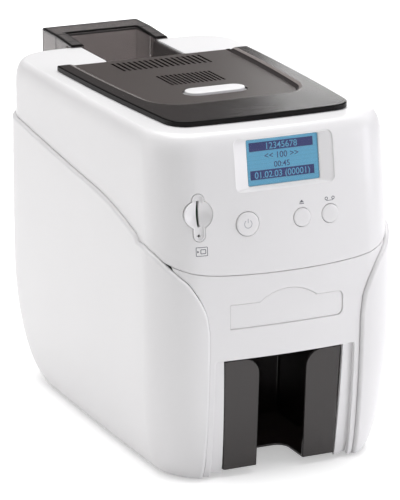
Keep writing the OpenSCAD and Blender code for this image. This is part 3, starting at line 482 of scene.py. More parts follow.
def flatSheet(name, loops, lowW, highW, edge=0.6, segments=3, keep=None):
    # a flat plate with holes and rounded outer edges, to be laid on the body afterwards
    profile = [(inset, highW - drop) for inset, drop in roundProfile(edge, segments)] + [(0, lowW)]
    levels = []
    for inset, w in profile:
        level = []
        for n, loop in enumerate(loops):
            moved = shiftLoop(loop, inset if n == 0 else -inset)
            level.append([keep(p, q) if keep else q for p, q in zip(loop, moved)])
        levels.append((level, w))
    rings = []
    for loop in levels[0][0]:
        startFresh()
        bpy.ops.mesh.primitive_circle_add(vertices=len(loop), radius=mm, fill_type="NOTHING")
        ring = bpy.context.object
        for v, (s, t) in zip(ring.data.vertices, loop):
            v.co = Vector((s, t, highW)) * mm
        rings.append(ring)
    plate = joinPieces(rings, name)
    edit(plate)
    select()
    fillFlat()
    done()
    current = [v.index for v in plate.data.vertices]
    for (level, w), (following, nextW) in zip(levels, levels[1:]):
        at = {(round(p[0], 3), round(p[1], 3)): q
              for ring, nextRing in zip(level, following) for p, q in zip(ring, nextRing)}
        pick(plate, "VERT", current)
        if w == highW:
            bpy.ops.mesh.select_mode(type="EDGE")
            select("DESELECT")
            bpy.ops.mesh.select_non_manifold()
        before = len(plate.data.vertices)
        bpy.ops.mesh.extrude_edges_move(TRANSFORM_OT_translate={"value": (0, 0, 0)})
        done()
        current = []
        for v in list(plate.data.vertices)[before:]:
            x, y = round(v.co.x / mm, 3), round(v.co.y / mm, 3)
            q = at.get((x, y)) or min(at.items(),
                                      key=lambda e: (e[0][0] - x) ** 2 + (e[0][1] - y) ** 2)[1]
            v.co = Vector((q[0], q[1], nextW)) * mm
            current.append(v.index)
    pick(plate, "VERT", current)
    fillFlat()
    turnOutwards()
    return plate


cutsAcross = {"front": 7.0, "corner": 2.4, "side": 12.0, "rearCorner": 3.2, "rear": 8.0}
cutsUp = {"sill": 6.0, "middle": 9.0, "rim": 1.6}


acrossLines = sorted(set(
    side * round(s, 4) for side in (-1, 1) for k, key in enumerate(cutsAcross)
    for s in steps(corners[k], corners[k + 1], cutsAcross[key])))
upLines = sorted(set(
    round(t, 4) for a, b, key in ((sheetLow, sillTop, "sill"), (sillTop, rimFoot, "middle"),
                                  (rimFoot, sheetTop, "rim"))
    for t in steps(a, b, cutsUp[key])))


def layOnBody(plate, moreAcross=()):
    # cuts the flat plate into small faces and bends it round the body
    edit(plate)
    bpy.ops.mesh.select_mode(type="VERT")
    for axis, lines in ((0, list(acrossLines) + list(moreAcross)), (1, upLines)):
        places = [v.co[axis] / mm for v in plate.data.vertices]
        normal = (1 - axis, axis, 0)
        for place in lines:
            if min(places) + shell["clear"] < place < max(places) - shell["clear"]:
                select()
                bpy.ops.mesh.bisect(plane_co=Vector(normal) * place * mm, plane_no=normal,
                                    threshold=1e-6)
    done()
    for v in plate.data.vertices:
        s, t, w = v.co / mm
        v.co = (bodyPoint(s, t) + w * bodyNormal(s, t)) * mm
    if min(v.co.z for v in plate.data.vertices) / mm < shell["skinZ"] - 0.01:
        # the lower edge is cut level
        edit(plate)
        select()
        bpy.ops.mesh.bisect(plane_co=(0, 0, shell["skinZ"] * mm), plane_no=(0, 0, 1), clear_inner=True,
                            use_fill=True, threshold=1e-6)
        select()
        bpy.ops.mesh.remove_doubles(threshold=1e-6)
        done()
    return plate


# colours and materials

def shade(hexColour):
    # sRGB hex to the linear values that Blender works in
    parts = [int(hexColour.lstrip("#")[i:i + 2], 16) / 255 for i in (0, 2, 4)]
    return tuple(p / 12.92 if p <= 0.04045 else ((p + 0.055) / 1.055) ** 2.4 for p in parts) + (1.0,)


def addNode(tree, kind, settings=None, values=None, links=None):
    # adds a node, sets its properties and sockets, and links its inputs: {input: (node, output)}
    node = tree.nodes.new("ShaderNode" + kind)
    for key, value in (settings or {}).items():
        setattr(node, key, value)
    for key, value in (values or {}).items():
        node.inputs[key].default_value = value
    for key, (source, output) in (links or {}).items():
        tree.links.new(source.outputs[output], node.inputs[key])
    return node


def newMaterial(name):
    material = bpy.data.materials.new(name)
    material.use_nodes = True
    tree = material.node_tree
    tree.nodes.clear()
    place = addNode(tree, "TexCoord")
    return material, tree, place


def mouldedPlastic(name, colour, darker, roughness, grainMm, grainDeep, coat=0.0):
    # injection-moulded plastic: an even colour with faint clouding, and a fine spark-eroded grain
    material, tree, place = newMaterial(name)
    cloud = addNode(tree, "TexNoise", values={"Scale": 1 / (60 * mm), "Detail": 0.0},
                    links={"Vector": (place, "Object")})
    grain = addNode(tree, "TexNoise", values={"Scale": 1 / (grainMm * mm), "Detail": 3.0},
                    links={"Vector": (place, "Object")})
    tint = addNode(tree, "ValToRGB", links={"Fac": (cloud, "Fac")})
    tint.color_ramp.elements[0].color = shade(darker)
    tint.color_ramp.elements[1].color = shade(colour)
    polish = addNode(tree, "MapRange", values={"To Min": roughness * 0.9, "To Max": roughness * 1.1},
                     links={"Value": (cloud, "Fac")})
    bump = addNode(tree, "Bump", values={"Strength": 0.25, "Distance": grainDeep * mm},
                   links={"Height": (grain, "Fac")})
    surface = addNode(tree, "BsdfPrincipled",
                      values={"IOR": 1.5, "Coat Weight": coat, "Coat Roughness": 0.12}, links={
        "Base Color": (tint, "Color"), "Roughness": (polish, "Result"), "Normal": (bump, "Normal")})
    addNode(tree, "OutputMaterial", links={"Surface": (surface, "BSDF")})
    return material


# white ABS from a polished mould: reads as a clean, slightly cool white with soft highlights
whiteAbs = mouldedPlastic("whiteGlossAbs", "#ECEBEC", "#E8E7E8", 0.33, 1.3, 0.008, coat=0.15)


# side covers: thin shells that stand proud of the rest, with an S-shaped upper edge

sideCover = {
    "slabIn": -1.5,       # inner face of the cover, inwards from the body's outline
    "edgeRound": 1.9,     # round of the edge that catches the light
    "frontX": 56.5,       # front edge below the curve
    "rearX": 62.0,
    "rearTop": -42.0, "rearStart": -40.0,     # from the rim
    "fallRear": (260, -25.3),       # upper edge from the side: y, and z from the rim
    "bend": [(-38, -55.8), (-66, -58.2), (-88, -62.5), (-118, -72.5)], "fallEnd": (-260, -117.7),
    "sweepHigh": [(99, -58), (93, -78), (85, -86.5), (71, -98.5)],   # front edge: x, and z from the rim
    "sweepLow": [(71, -98.5), (66, -106), (57, -116), (56.5, -134)],
}


def cubic(points, count=10):
    a, b, c, d = [Vector(p) for p in points]
    return [(1 - u) ** 3 * a + 3 * (1 - u) ** 2 * u * b + 3 * (1 - u) * u * u * c + u ** 3 * d
            for u in [i / count for i in range(count + 1)]]


sideLine = [Vector(sideCover["fallRear"])] + cubic(sideCover["bend"]) + [Vector(sideCover["fallEnd"])]
frontLine = cubic(sideCover["sweepHigh"]) + cubic(sideCover["sweepLow"])[1:]


def heightAlong(line, a):
    # height of a line of (place, height) points, whose places fall all the way
    for p, q in zip(line, line[1:]):
        if p.x >= a >= q.x:
            return p.y + (q.y - p.y) * (p.x - a) / (p.x - q.x)
    return line[0].y if a > line[0].x else line[-1].y


def coverTop(s):
    # upper edge of the cover at a place along the outline, by halving
    lo, hi = sheetLow, sheetOf(shell["top"] - 20)
    for _ in range(40):
        mid = (lo + hi) / 2
        p = bodyPoint(s, mid) + shell["lip"] * bodyNormal(s, mid)
        z = p.z - shell["top"]
        under = z < heightAlong(sideLine, p.y) and (p.y > -120 or z < heightAlong(frontLine, abs(p.x)))
        lo, hi = (mid, hi) if under else (lo, mid)
    return (lo + hi) / 2


coverFootZ = shell["top"] + sideCover["sweepLow"][-1][1]        # where the front edge ends its curve


def coverLine():
    # the S-shaped edge from the rear to the front, up to where it meets the straight front edge
    rearS = aroundOf(sideCover["rearX"], shell["top"] + sideCover["rearStart"], rear=True)
    frontS = aroundOf(sideCover["frontX"], coverFootZ)
    places = steps(rearS, corners[3], 3) + steps(corners[3], corners[2], 4)[1:]
    places += steps(corners[2], frontS, 1.6)[1:]
    return [(s, coverTop(s)) for s in places[:-1]]


def coverFront(pitch):
    # the straight front edge, downwards
    return [(aroundOf(sideCover["frontX"], z), sheetOf(z))
            for z in steps(coverFootZ, shell["skinZ"], pitch)]


def coverOutline():
    rear = [(aroundOf(sideCover["rearX"], z, rear=True), sheetOf(z))
            for z in steps(shell["skinZ"], shell["top"] + sideCover["rearTop"], 8)]
    return coverLine() + coverFront(6) + rear[:-1]


def makeSideCover(side, name):
    cover = flatSheet(name, [coverOutline()], sideCover["slabIn"], shell["lip"],
                      sideCover["edgeRound"], 5)
    layOnBody(cover)
    if side < 0:
        activate(cover)
        cover.scale.x = -1
        bpy.ops.object.transform_apply(location=False, rotation=False, scale=True)
        edit(cover)
        select()
        bpy.ops.mesh.flip_normals()
        done()
    smooth(cover)
    return cover


for side, name in ((-1, "left"), (1, "right")):
    cover = makeSideCover(side, name + "SideCover")
    finishPiece(cover, "body", whiteAbs, [name + "_side_cover"])
print("side covers done")


# places and outlines on the front

front = {
    "seamZ": -95.8,       # heights are measured from the rim
    "displayX": 1.3, "displayZ": -21.5,
    "displaySize": (53.0, 31.0),
    "recess": (-35.1, 37.3, -18.1, 15.9),
    "recessRound": 3.6,
    "keyZ": -60.8,
    "power": (-28.4, 8.0), "eject": (11.5, 6.2), "ribbon": (32.8, 6.2),     # x and radius of the keys
    "keyGap": 0.25,
    "insert": (-62.2, -53.7),
    "insertTurn": -6, "insertGap": 0.2,
    "insertEnd": 4.0, "insertReach": 11.8,        # radius of its round ends, and how far out they stand
    "insertWide": 9.6, "insertWideZ": 2.0,        # and of its wider middle
    "edge": 0.5,          # round of the moulded edges
}
seamZ, displayZ, keyZ = (shell["top"] + front[k] for k in ("seamZ", "displayZ", "keyZ"))
insertZ = shell["top"] + front["insert"][1]


def onFront(x, z):
    # a frame on the face: X to the right, Y into the body, Z up along the face
    here = bodyPoint(aroundOf(x, z), sheetOf(z)) if x else bodyPoint(0, sheetOf(z))
    lean = bodyPoint(0, sheetOf(z + 1)).y - bodyPoint(0, sheetOf(z)).y
    return Matrix.Translation(here) @ Matrix.Rotation(-math.atan(lean), 4, "X")


def frontSpot(x, z):
    return (aroundOf(x, z), sheetOf(z))


def rearSpot(x, z):
    s = aroundOf(abs(x), z, rear=True)
    return (2 * corners[5] - s if x < 0 else s, sheetOf(z))


def insertLoop(grow, count=12):
    # outline of the card slot insert: upright and round-ended, wider where a finger reaches in
    r, wideR = front["insertEnd"] + grow, front["insertWide"] + grow
    reach, wideZ = front["insertReach"], front["insertWideZ"]
    meet = math.degrees(math.acos(r / wideR))
    right = arc(0, -reach, r, -90, 0, 90 / count)
    right += arc(0, wideZ, wideR, -meet, meet, 6)
    right += arc(0, reach, r, 0, 90, 90 / count)
    return right + [(-x, z) for x, z in reversed(right[1:-1])]


def seamSheet(s):
    # the seam between the upper housing and the lower front panel sags slightly in the middle
    t = seamZ
    for _ in range(6):
        x = abs(bodyPoint(s, t).x)
        t = sheetOf(seamZ + 2.2 * (x / 62) ** 2 + 1.2 * (x / 62) ** 6)
    return t


# upper housing: rim, deck and the upper part of the front, in one moulding

housing = {
    "sortFrom": (0.731, 0.417, 0.553),
    "wall": 2.0,
    "slotHalf": 30.4,     # half width of the way for the feed hopper
    "slotRound": 10.0,    # round of the deck beside the well
    "slotLow": 97.2,
    "rearStep": -44.0,    # upper end of the rear panel, from the rim
    "lidLap": 5.0,
    "barrelHalf": 68.0, "barrelGap": 4.0,
}
slotHalf = housing["slotHalf"]
rearStepZ = shell["top"] + housing["rearStep"]


def housingOutline():
    # seam and covers' edge below, the step over the rear panel, the hopper's way, then the rim
    rearS = aroundOf(sideCover["rearX"] + shell["gap"], shell["top"] + sideCover["rearTop"], rear=True)
    right = []
    for k, pitch in enumerate((4, 1.6, 4, 3)):
        right += steps(corners[k], min(corners[k + 1], rearS), pitch)[1 if k else 0:]
    right += steps(corners[4], rearS, 3)[1:] if rearS > corners[4] else []
    right = [(s, max(seamSheet(s), coverTop(s) if s > 50 else 0) + shell["gap"]) for s in right]
    right += [rearSpot(x, rearStepZ + shell["gap"])
              for x in steps(sideCover["rearX"] + shell["gap"], slotHalf, 5)]
    right += [rearSpot(slotHalf, z) for z in steps(rearStepZ + shell["gap"], rimFoot, 4)[1:]]
    right += [rearSpot(slotHalf, heightOf(t)) for t in steps(rimFoot, sheetTop, 1.6)[1:]]
    rim = [(s, sheetTop) for s in reversed(acrossLines) if 0 <= s < right[-1][0] - 0.5]
    right += rim
    return right + [(-s, t) for s, t in reversed(right) if s > 0]


lid = {
    "half": 74.5,
    "frontY": -132.8, "rearY": 57.2,
    "corner": 14.0,
    "taper": 0.114,
    "bow": 2.5,
    "low": 0.4, "high": 4.0, "tray": 1.7,     # heights over the rim
    "trayHalf": 64.0, "trayLong": 144.0, "trayRound": 24.0, "trayTaper": 0.125,
    # width of the slope down to the tray, at the sides and in front
    "traySlope": (4.6, 2.0),
    "hingeY": 54.0, "hingeZ": -0.8, "barrel": 3.2, "barrelHalf": 62.0,
    "edge": 0.9, "lip": 1.4,
}


def lidHalf(half, frontY, r, rearY, pitch, count):
    # outline with rounded front corners and straight sides that end at the rear
    right = [(x, frontY) for x in steps(0, half - r, pitch)]
    right += arc(half - r, frontY + r, r, -90, 0, 90 / count)[1:]
    return mirrored(right + [(half, y) for y in steps(frontY + r, rearY, 12)[1:]])


def lidLoop(d, rearY, count=8):
    # outline of the lid, drawn in by d: bowed front, sides that close towards the front
    out = []
    for x, y in lidHalf(lid["half"] - d, lid["frontY"] + lid["bow"] + d, lid["corner"] - min(d, 6),
                        rearY, 6, count):
        along = (lid["rearY"] - y) / (lid["rearY"] - lid["frontY"])
        bow = lid["bow"] * (1 - (x / lid["half"]) ** 2) if y < 0 else 0
        out.append((x * (1 - lid["taper"] * along * along), y - bow))
    return out


def deckChain(inset, drop):
    # edge of the deck round the lid's opening, from the right end of the hopper's way to its left end
    r, y = housing["slotRound"], lid["rearY"] + shell["gap"]
    half, barrelY = housing["barrelHalf"], lid["hingeY"] - housing["barrelGap"]
    s = rearSpot(slotHalf, shell["top"])[0] - inset
    end = bodyPoint(s, sheetTop) - drop * bodyNormal(s, sheetTop)
    over = [p for p in lidLoop(housing["lidLap"] - inset, barrelY) if p[0] >= 0]
    rest = [(half, barrelY), (half, y), (slotHalf + r, y)]
    rest += arc(slotHalf + r, y + r, r, -90, -180, 10)[1:]
    beyond = [(slotHalf, y + 60), (slotHalf - 40, y + 60), (slotHalf - 40, barrelY)]
    grown = shiftLoop(rest + beyond, -inset)[:len(rest)]
    gx, gy = grown[-1]
    side = over + grown + [(gx * (1 - u) + end.x * u, gy * (1 - u) + end.y * u)
                           for u in (0.25, 0.5, 0.75)]
    z = shell["top"] - drop
    chain = [(x, v, z) for x, v in side] + [tuple(end)]
    return [p for p in reversed(chain)] + [(-x, v, z) for x, v, z in chain if x > 0.001]


def makeDisplayFunnel():
    # the slopes that fall from the recess' edge to the display
    across, down = front["displaySize"][0] / 2, front["displaySize"][1] / 2
    x0, x1, z0, z1 = front["recess"]
    place = onFront(front["displayX"], displayZ)

    def onBody(grow, w):
        loop = boxLoop(x0 - grow, x1 + grow, displayZ + z0 - grow, displayZ + z1 + grow,
                       front["recessRound"] + grow)
        return [bodyPoint(*frontSpot(x, z)) + w * bodyNormal(*frontSpot(x, z)) for x, z in loop]

    def onGlass(grow, depth, r=1.2):
        return [place @ Vector((x, depth, z))
                for x, z in boxLoop(-across - grow, across + grow, -down - grow, down + grow,
                                    r + max(grow, 0))]

    rings = [onBody(0.1, -0.45), onBody(-0.5, -0.85), onGlass(1.1, 3.45), onGlass(0.35, 3.72),
             onGlass(0, 4.1),
             onGlass(0, 6.0), onGlass(1.2, 6.0), onBody(0.1, -1.9)]
    return loft("displayFunnel", rings, closed=True)


def makeHousing():
    x0, x1, z0, z1 = front["recess"]
    turn = math.cos(math.radians(front["insertTurn"]))
    holes = [[(x, displayZ + z) for x, z in boxLoop(x0, x1, z0, z1, front["recessRound"])]]
    holes += [ringLoop(front[k][0], keyZ, front[k][1] + front["keyGap"])
              for k in ("power", "eject", "ribbon")]
    holes += [[(front["insert"][0] + x * turn, insertZ + z) for x, z in insertLoop(front["insertGap"])]]
    wall, edge = housing["wall"], front["edge"]
    rimEnd = rearSpot(slotHalf, shell["top"])[0]

    def keep(p, q):
        # the rim's own edge is not rounded: the deck goes on from it
        return (q[0] if abs(abs(p[0]) - rimEnd) < 0.01 else p[0], p[1]) if p[1] > sheetTop - 0.01 else q

    loops = [housingOutline()] + [[frontSpot(*p) for p in hole] for hole in holes]
    housingShell = flatSheet("upperHousing", loops, -wall, 0, edge, 3, keep)
    pickFaces(housingShell, lambda c, n: c.y > sheetTop - 0.01 and n.y > 0.9)
    bpy.ops.mesh.delete(type="FACE")
    layOnBody(housingShell)
    rings = [deckChain(inset, drop) for inset, drop in roundProfile(edge, 3)] + [deckChain(0, wall)]
    strip = loft("deckEdge", rings, caps=False)
    pickFaces(strip, lambda c, n: c.y > 80 and abs(c.x) < slotHalf - 1)
    bpy.ops.mesh.delete(type="FACE")
    done()
    housingShell = joinPieces([housingShell, strip], "upperHousing")
    edit(housingShell)
    bpy.ops.mesh.select_mode(type="VERT")
    select()
    # the vertices in a fixed order first, so that the same ones are kept in each run
    bpy.context.scene.cursor.location = housing["sortFrom"]
    bpy.ops.mesh.sort_elements(type="CURSOR_DISTANCE", elements={"VERT"})
    bpy.context.scene.cursor.location = (0, 0, 0)
    bpy.ops.mesh.remove_doubles(threshold=0.02 * mm)
    closeHoles()
    turnOutwards()
    housingShell = joinPieces([housingShell, makeDisplayFunnel()], "upperHousing")
    smooth(housingShell)
    return housingShell


finishPiece(makeHousing(), "body", whiteAbs, ["upper_housing"])
print("upper housing done")


# stacker: its sizes stand here because the mouth of the lower front panel follows them

stacker = {
    "frontY": -161.6, "lean": 4.5, "back": -69.8, "low": 5.6, "high": 84.4,
    "footHalf": 42.0, "topHalf": 44.0, "wall": 2.0, "gapHalf": 17.4, "gapRound": 12.0,
    "fingerBack": -127.6, "fingerRound": 8.0, "edge": 0.6,
}


# lower front panel round the stacker's mouth, with the blanked card-shaped recess

lowerPanel = {
    "mouthHalf": 52.0, "mouthHigh": 86.2, "mouthRound": 1.6,
    "wallLow": 9.0, "topDeep": (4.1, 12.0),       # lining of the mouth
    "tip": 1.8,           # least width of the panel beside the covers
    "blankHalf": 42.0, "blankZ": 108.0, "blankHigh": 17.0, "blankRounds": (4.2, 0.9),
    "domeX": 0.8, "domeZ": -9.0, "domeR": 33.5,
    "recessDeep": 1.5, "floorBack": 2.4, "floorLap": 1.2,
    "cheekDeep": 3.2, "cheekWall": 2.0, "cheekGap": 0.8,      # white strips beside the stacker
}


def stackerHalf(z):
    # half width of the stacker, which widens upwards
    k = stacker
    return k["footHalf"] + (k["topHalf"] - k["footHalf"]) * (z - k["low"]) / (k["high"] - k["low"])


def blankLoop(grow):
    # a card's width with a dome above it, its right corners rounder than the left ones
    p = lowerPanel
    half, z0, z1 = p["blankHalf"] + grow, p["blankZ"] - grow, p["blankZ"] + p["blankHigh"] + grow
    cx, cz, r = p["domeX"], p["blankZ"] + p["domeZ"], p["domeR"] + grow
    right, left = p["blankRounds"]
    loop = []
    for x, z, start, bend in ((half, z0, -90, right), (half, z1, 0, right), (-half, z1, 90, left),
                              (-half, z0, 180, left)):
        mx, mz = x - math.copysign(bend, x), z + (bend if z == z0 else -bend)
        loop += arc(mx, mz, bend, start, start + 90, 15)
    meet = math.degrees(math.asin((z1 - cz) / r))
    dome = arc(cx, cz, r, meet, 180 - meet, 4)
    loop += dome + [(x, z0) for x in steps(6 - half, half - 6, 4)]
    loop += [(x, z1) for x in steps(dome[0][0] + 2, half - 6, 2) + steps(3 - half, dome[-1][0] - 2, 4)]
    # counted round from its middle and laid on the front
    middle = p["blankZ"] + 4
    return [frontSpot(x, z) for x, z in sorted(loop, key=lambda q: math.atan2(q[1] - middle, q[0]))]


def panelOutline():
    # the seam above, then the covers' front edges, then the mouth
    gap = shell["gap"]
    edge = coverLine() + coverFront(8)
    moved = []
    for (s0, t0), (s1, t1) in zip(edge, edge[1:] + [(edge[-1][0], edge[-1][1] - 1)]):
        long = math.hypot(s1 - s0, t1 - t0)
        moved.append((s0 - gap * abs(t1 - t0) / long, t0 + gap * abs(s1 - s0) / long))
    under = [(s, t) for s, t in moved if s < corners[2] and t < seamSheet(s) - lowerPanel["tip"]]
    right = [(s, seamSheet(s)) for s in steps(0, under[0][0] + 1.2, 3)] + under
    half, high, r = lowerPanel["mouthHalf"], lowerPanel["mouthHigh"], lowerPanel["mouthRound"]
    right += [frontSpot(half, z) for z in steps(shell["skinZ"], high - r, 8)]
    return mirrored(right + [frontSpot(*p) for p in arc(half - r, high - r, r, 0, 90, 22.5)[1:]])


def makeLowerPanel():
    p, z0 = lowerPanel, shell["skinZ"]
    half, high, back, deep = p["mouthHalf"], p["mouthHigh"], stacker["back"], p["cheekDeep"]
    panel = flatSheet("lowerFrontPanel", [panelOutline(), blankLoop(0)], -shell["wall"], 0)
    recessFloor = flatSheet("recessFloor", [blankLoop(p["floorLap"])], -p["floorBack"],
                            -p["recessDeep"], 0.1, 1)
    parts = [layOnBody(panel), layOnBody(recessFloor)]
    for side in (-1, 1):
        # side wall of the mouth, its front edge set on the inside of the panel
        outline = [(bodyPoint(*frontSpot(half, z)).y + shell["wall"] - 0.7, z)
                   for z in steps(high + 2, p["wallLow"], 9)]
        outline += [(back, p["wallLow"]), (back, high + 2)]
        parts.append(loft("mouthWall", [[(side * (half + x), y, z) for y, z in outline]
                                        for x in (0.1, 2.1)]))
        inner = [(side * (stackerHalf(z) + p["cheekGap"]), z) for z in steps(z0 + 0.2, high + 0.6, 8)]
        strip = [frontSpot(*q) for q in inner + [(side * (half + 0.8), z) for _, z in reversed(inner)]]
        parts.append(layOnBody(flatSheet("cheek", [strip], -deep - p["cheekWall"], -deep, 0.4, 2)))
    y0, y1 = (shell["frontY"] + y for y in p["topDeep"])
    parts.append(block("mouthTop", (-half - 2, y0, high), (half + 2, y1, high + 2), 0.2))
    panel = joinPieces(parts, "lowerFrontPanel")
    smooth(panel)
    return panel


finishPiece(makeLowerPanel(), "body", whiteAbs, ["lower_front_panel"])


def makeBlankPlate():
    plate = flatSheet("slotBlankPlate", [blankLoop(-0.3)], -lowerPanel["recessDeep"], -0.8, 0.25, 2)
    layOnBody(plate)
    smooth(plate)
    return plate


finishPiece(makeBlankPlate(), "body", whiteAbs, ["slot_blank_plate"])
print("lower front done")


# rear panel with its two fields of slots and the holes for the sockets

rearPanel = {
    "half": 62.0,
    "ventX": (38.0, 48.0), "ventZ": 60.0, "ventPitch": 6.0, "ventHigh": 2.4, "ventCount": 10,
    "data": (-24.0, 6.6), "inlet": (22.0, 7.6), "socketZ": (17.0, 29.0),     # place and half width
    "screwR": 1.6, "screws": [(-54, 30), (54, 30), (-54, 156), (54, 156)],
}


def makeRearPanel():
    p, half, top, z0 = rearPanel, rearPanel["half"], rearStepZ, shell["skinZ"]
    path = [(half, z0), (half, top), (slotHalf, top), (slotHalf, housing["slotLow"])]
    path += [(-x, z) for x, z in reversed(path)] + path[:1]
    outline = walk(path, (8, 6, 10, 6, 10, 6, 8, 8))
    holes = []
    for i in range(p["ventCount"]):
        z = p["ventZ"] + p["ventPitch"] * i
        for side in (-1, 1):
            a, b = sorted(side * x for x in p["ventX"])
            holes.append(boxLoop(a, b, z, z + p["ventHigh"], 1.1, 4, 3, 1))
    for x, w in (p["data"], p["inlet"]):
        holes.append(boxLoop(x - w, x + w, *p["socketZ"], 0.8, 3, 3, 3))
    holes += [ringLoop(x, z, p["screwR"], 20) for x, z in p["screws"]]
    loops = [[rearSpot(*q) for q in loop] for loop in [outline, *holes]]
    panel = flatSheet("rearPanel", loops, -shell["wall"], 0, 0.5, 2)
    layOnBody(panel, moreAcross=[2 * corners[5] - s for s in acrossLines if s > corners[4]])
    smooth(panel)
    return panel


finishPiece(makeRearPanel(), "body", whiteAbs, ["rear_panel"])
print("rear panel done")


# card slot insert: an upright pill with a scoop for the finger, a slit and a pinhole

insertPart = {
    "front": 0.2, "back": 5.4,
    "pillR": 3.2, "pillDeep": 1.5,
    "scoopR": 16.0, "scoopY": -12.4,
    "slitHalf": 0.9, "slit": (-6.4, 11.2),
    "pinR": 1.0, "pinZ": -12.2,
    "edge": 0.35,
}


def frontSlab(name, loop, nearY, farY):
    # upright plate in the frame of the face, its outline given as (x, z)
    return loft(name, [[(x, y, z) for x, z in loop] for y in (nearY, farY)])


def roundFront(piece, y, width, segments):
    sharpEdges(piece, 50, lambda a, b: abs(a.y - y) < 0.01 and abs(b.y - y) < 0.01)
    roundPicked(width, segments)


def makeInsert():
    i, reach = insertPart, front["insertReach"]
    body = frontSlab("cardSlotInsert", insertLoop(0), i["front"], i["back"])
    pill = arc(0, reach, i["pillR"], 0, 180, 12) + arc(0, -reach, i["pillR"], 180, 360, 12)
    cutAway(body, frontSlab("pillCutter", pill, -6, i["pillDeep"]))
    startFresh()
    bpy.ops.mesh.primitive_uv_sphere_add(segments=64, ring_count=32, radius=i["scoopR"] * mm,
                                         location=Vector((0, i["scoopY"], front["insertWideZ"])) * mm)
    cutAway(body, named("scoopCutter"))
    cutAway(body, block("slitCutter", (-i["slitHalf"], -2, i["slit"][0]),
                        (i["slitHalf"], 20, i["slit"][1])))
    cutAway(body, frontSlab("pinCutter", ringLoop(0, i["pinZ"], i["pinR"], 24), -3, 12))
    roundFront(body, i["front"], i["edge"], 2)
    turn = Matrix.Rotation(math.radians(front["insertTurn"]), 4, "Z")
    placeAt(body, onFront(front["insert"][0], insertZ) @ turn)
    smooth(body, 30)
    return body


finishPiece(makeInsert(), "body", whiteAbs, ["card_slot_insert"])


# keys: domed caps in round holes, with a flange and a stem behind

keyPart = {
    "profile": [(-3.2, -0.95), (-1.2, -0.85), (-0.5, -0.7), (-0.12, -0.52), (0, -0.15), (0, 4.0),
                (1.0, 4.0), (1.0, 6.0)],      # over the key's radius, and into the body
    "stemR": 2.0, "stemY": (6.0, 9.0),
}


def makeKey(name, x, r):
    key = loft(name, [[(u, y, v) for u, v in ringLoop(0, 0, r + wider, 64)]
                      for wider, y in keyPart["profile"]]
               + [[(u, y, v) for u, v in ringLoop(0, 0, keyPart["stemR"], 64)]
                  for y in keyPart["stemY"]])
    placeAt(key, onFront(x, keyZ))
    smooth(key)
    return key


for key in ("power", "eject", "ribbon"):
    finishPiece(makeKey(key + "Key", *front[key]), key + "_key", whiteAbs,
                [key + "_button"])
print("keys and card slot done")


# lid: smoke polycarbonate with a shallow tray, two fields of slots and a hinge barrel

lid.update({
    # count, pitch, width, and from where to where, from the rear edge
    "ventsRear": (17, 4.2, 2.0, -32.5, -8.2),
    "ventsMiddle": (13, 3.3, 1.7, -84.0, -55.5),
    "holeLong": 47.6, "holeR": 9.5, "holeY": -52.0,
    "guides": (-112.8, -78.8), "guideHalf": 15.0, "guideLow": -8.8, "guideHole": (12.3, -7.3, -4.7),
})
lidZ, lidTop, trayZ = (shell["top"] + lid[k] for k in ("low", "high", "tray"))


def stadiumLoop(length, r, cy=0.0, count=16):
    return mirrored(arc(length / 2 - r, cy, r, -90, 90, 180 / count))


def trayLoop(dSide, dFront, count=10):
    frontY = lid["rearY"] - lid["trayLong"] + dFront
    loop = lidHalf(lid["trayHalf"] - dSide, frontY, lid["trayRound"] - dSide,
                   lid["rearY"] + 20, 4, count)
    return [(x * (1 - lid["trayTaper"] * ((lid["rearY"] - y) / lid["trayLong"]) ** 2), y)
            for x, y in loop]


def smokedPlastic(name, colour, through, roughness, specular):
    # tinted clear plastic from a polished mould: light goes partly through, the surface keeps soft gloss
    material, tree, place = newMaterial(name)
    flow = addNode(tree, "TexNoise", values={"Scale": 1 / (35 * mm), "Detail": 2.0, "Distortion": 0.6},
                   links={"Vector": (place, "Object")})
    polish = addNode(tree, "MapRange", values={"To Min": roughness * 0.8, "To Max": roughness * 1.25},
                     links={"Value": (flow, "Fac")})
    bump = addNode(tree, "Bump", values={"Strength": 0.2, "Distance": 0.05 * mm},
                   links={"Height": (flow, "Fac")})
    surface = addNode(tree, "BsdfPrincipled", values={
        "Base Color": shade(colour), "IOR": 1.58, "Transmission Weight": through,
        "Specular IOR Level": specular}, links={
        "Roughness": (polish, "Result"), "Normal": (bump, "Normal")})
    addNode(tree, "OutputMaterial", links={"Surface": (surface, "BSDF")})
    return material


# smoke-grey polycarbonate in a thin wall: see-through enough to lighten where white lies behind it
smokePolycarbonate = smokedPlastic("smokePolycarbonate", "#AFA9A8", 0.86, 0.2, 0.25)
# the same where it is thick: hardly any light comes through, so it reads as a warm near-black
deepSmoke = smokedPlastic("deepSmokePolycarbonate", "#352E2D", 0.4, 0.2, 0.35)
# and painted shade at a cut or rounded edge: the same plastic painted near-black on the lid's sides and
# top edge, the hoppers' rounded edges and the feed hopper's crease, where shade falls; its gloss still
# gives a bright glint
paintedShadeSmoke = smokedPlastic("smokePolycarbonatePaintedShade", "#100E0E", 0.0, 0.2, 0.12)
# and where the mould is finely textured: the same grey, but soft and lighter
texturedSmoke = mouldedPlastic("texturedSmokePolycarbonate", "#4A4341", "#443D3B", 0.36, 0.5, 0.02)
# and a painted highlight on the tray's rounded lip: the same plastic painted a pale warm grey, as if it
# caught light all along
paintedHighlightLip = smokedPlastic("smokePolycarbonatePaintedHighlight", "#847D7B", 0.0, 0.2, 0.5)


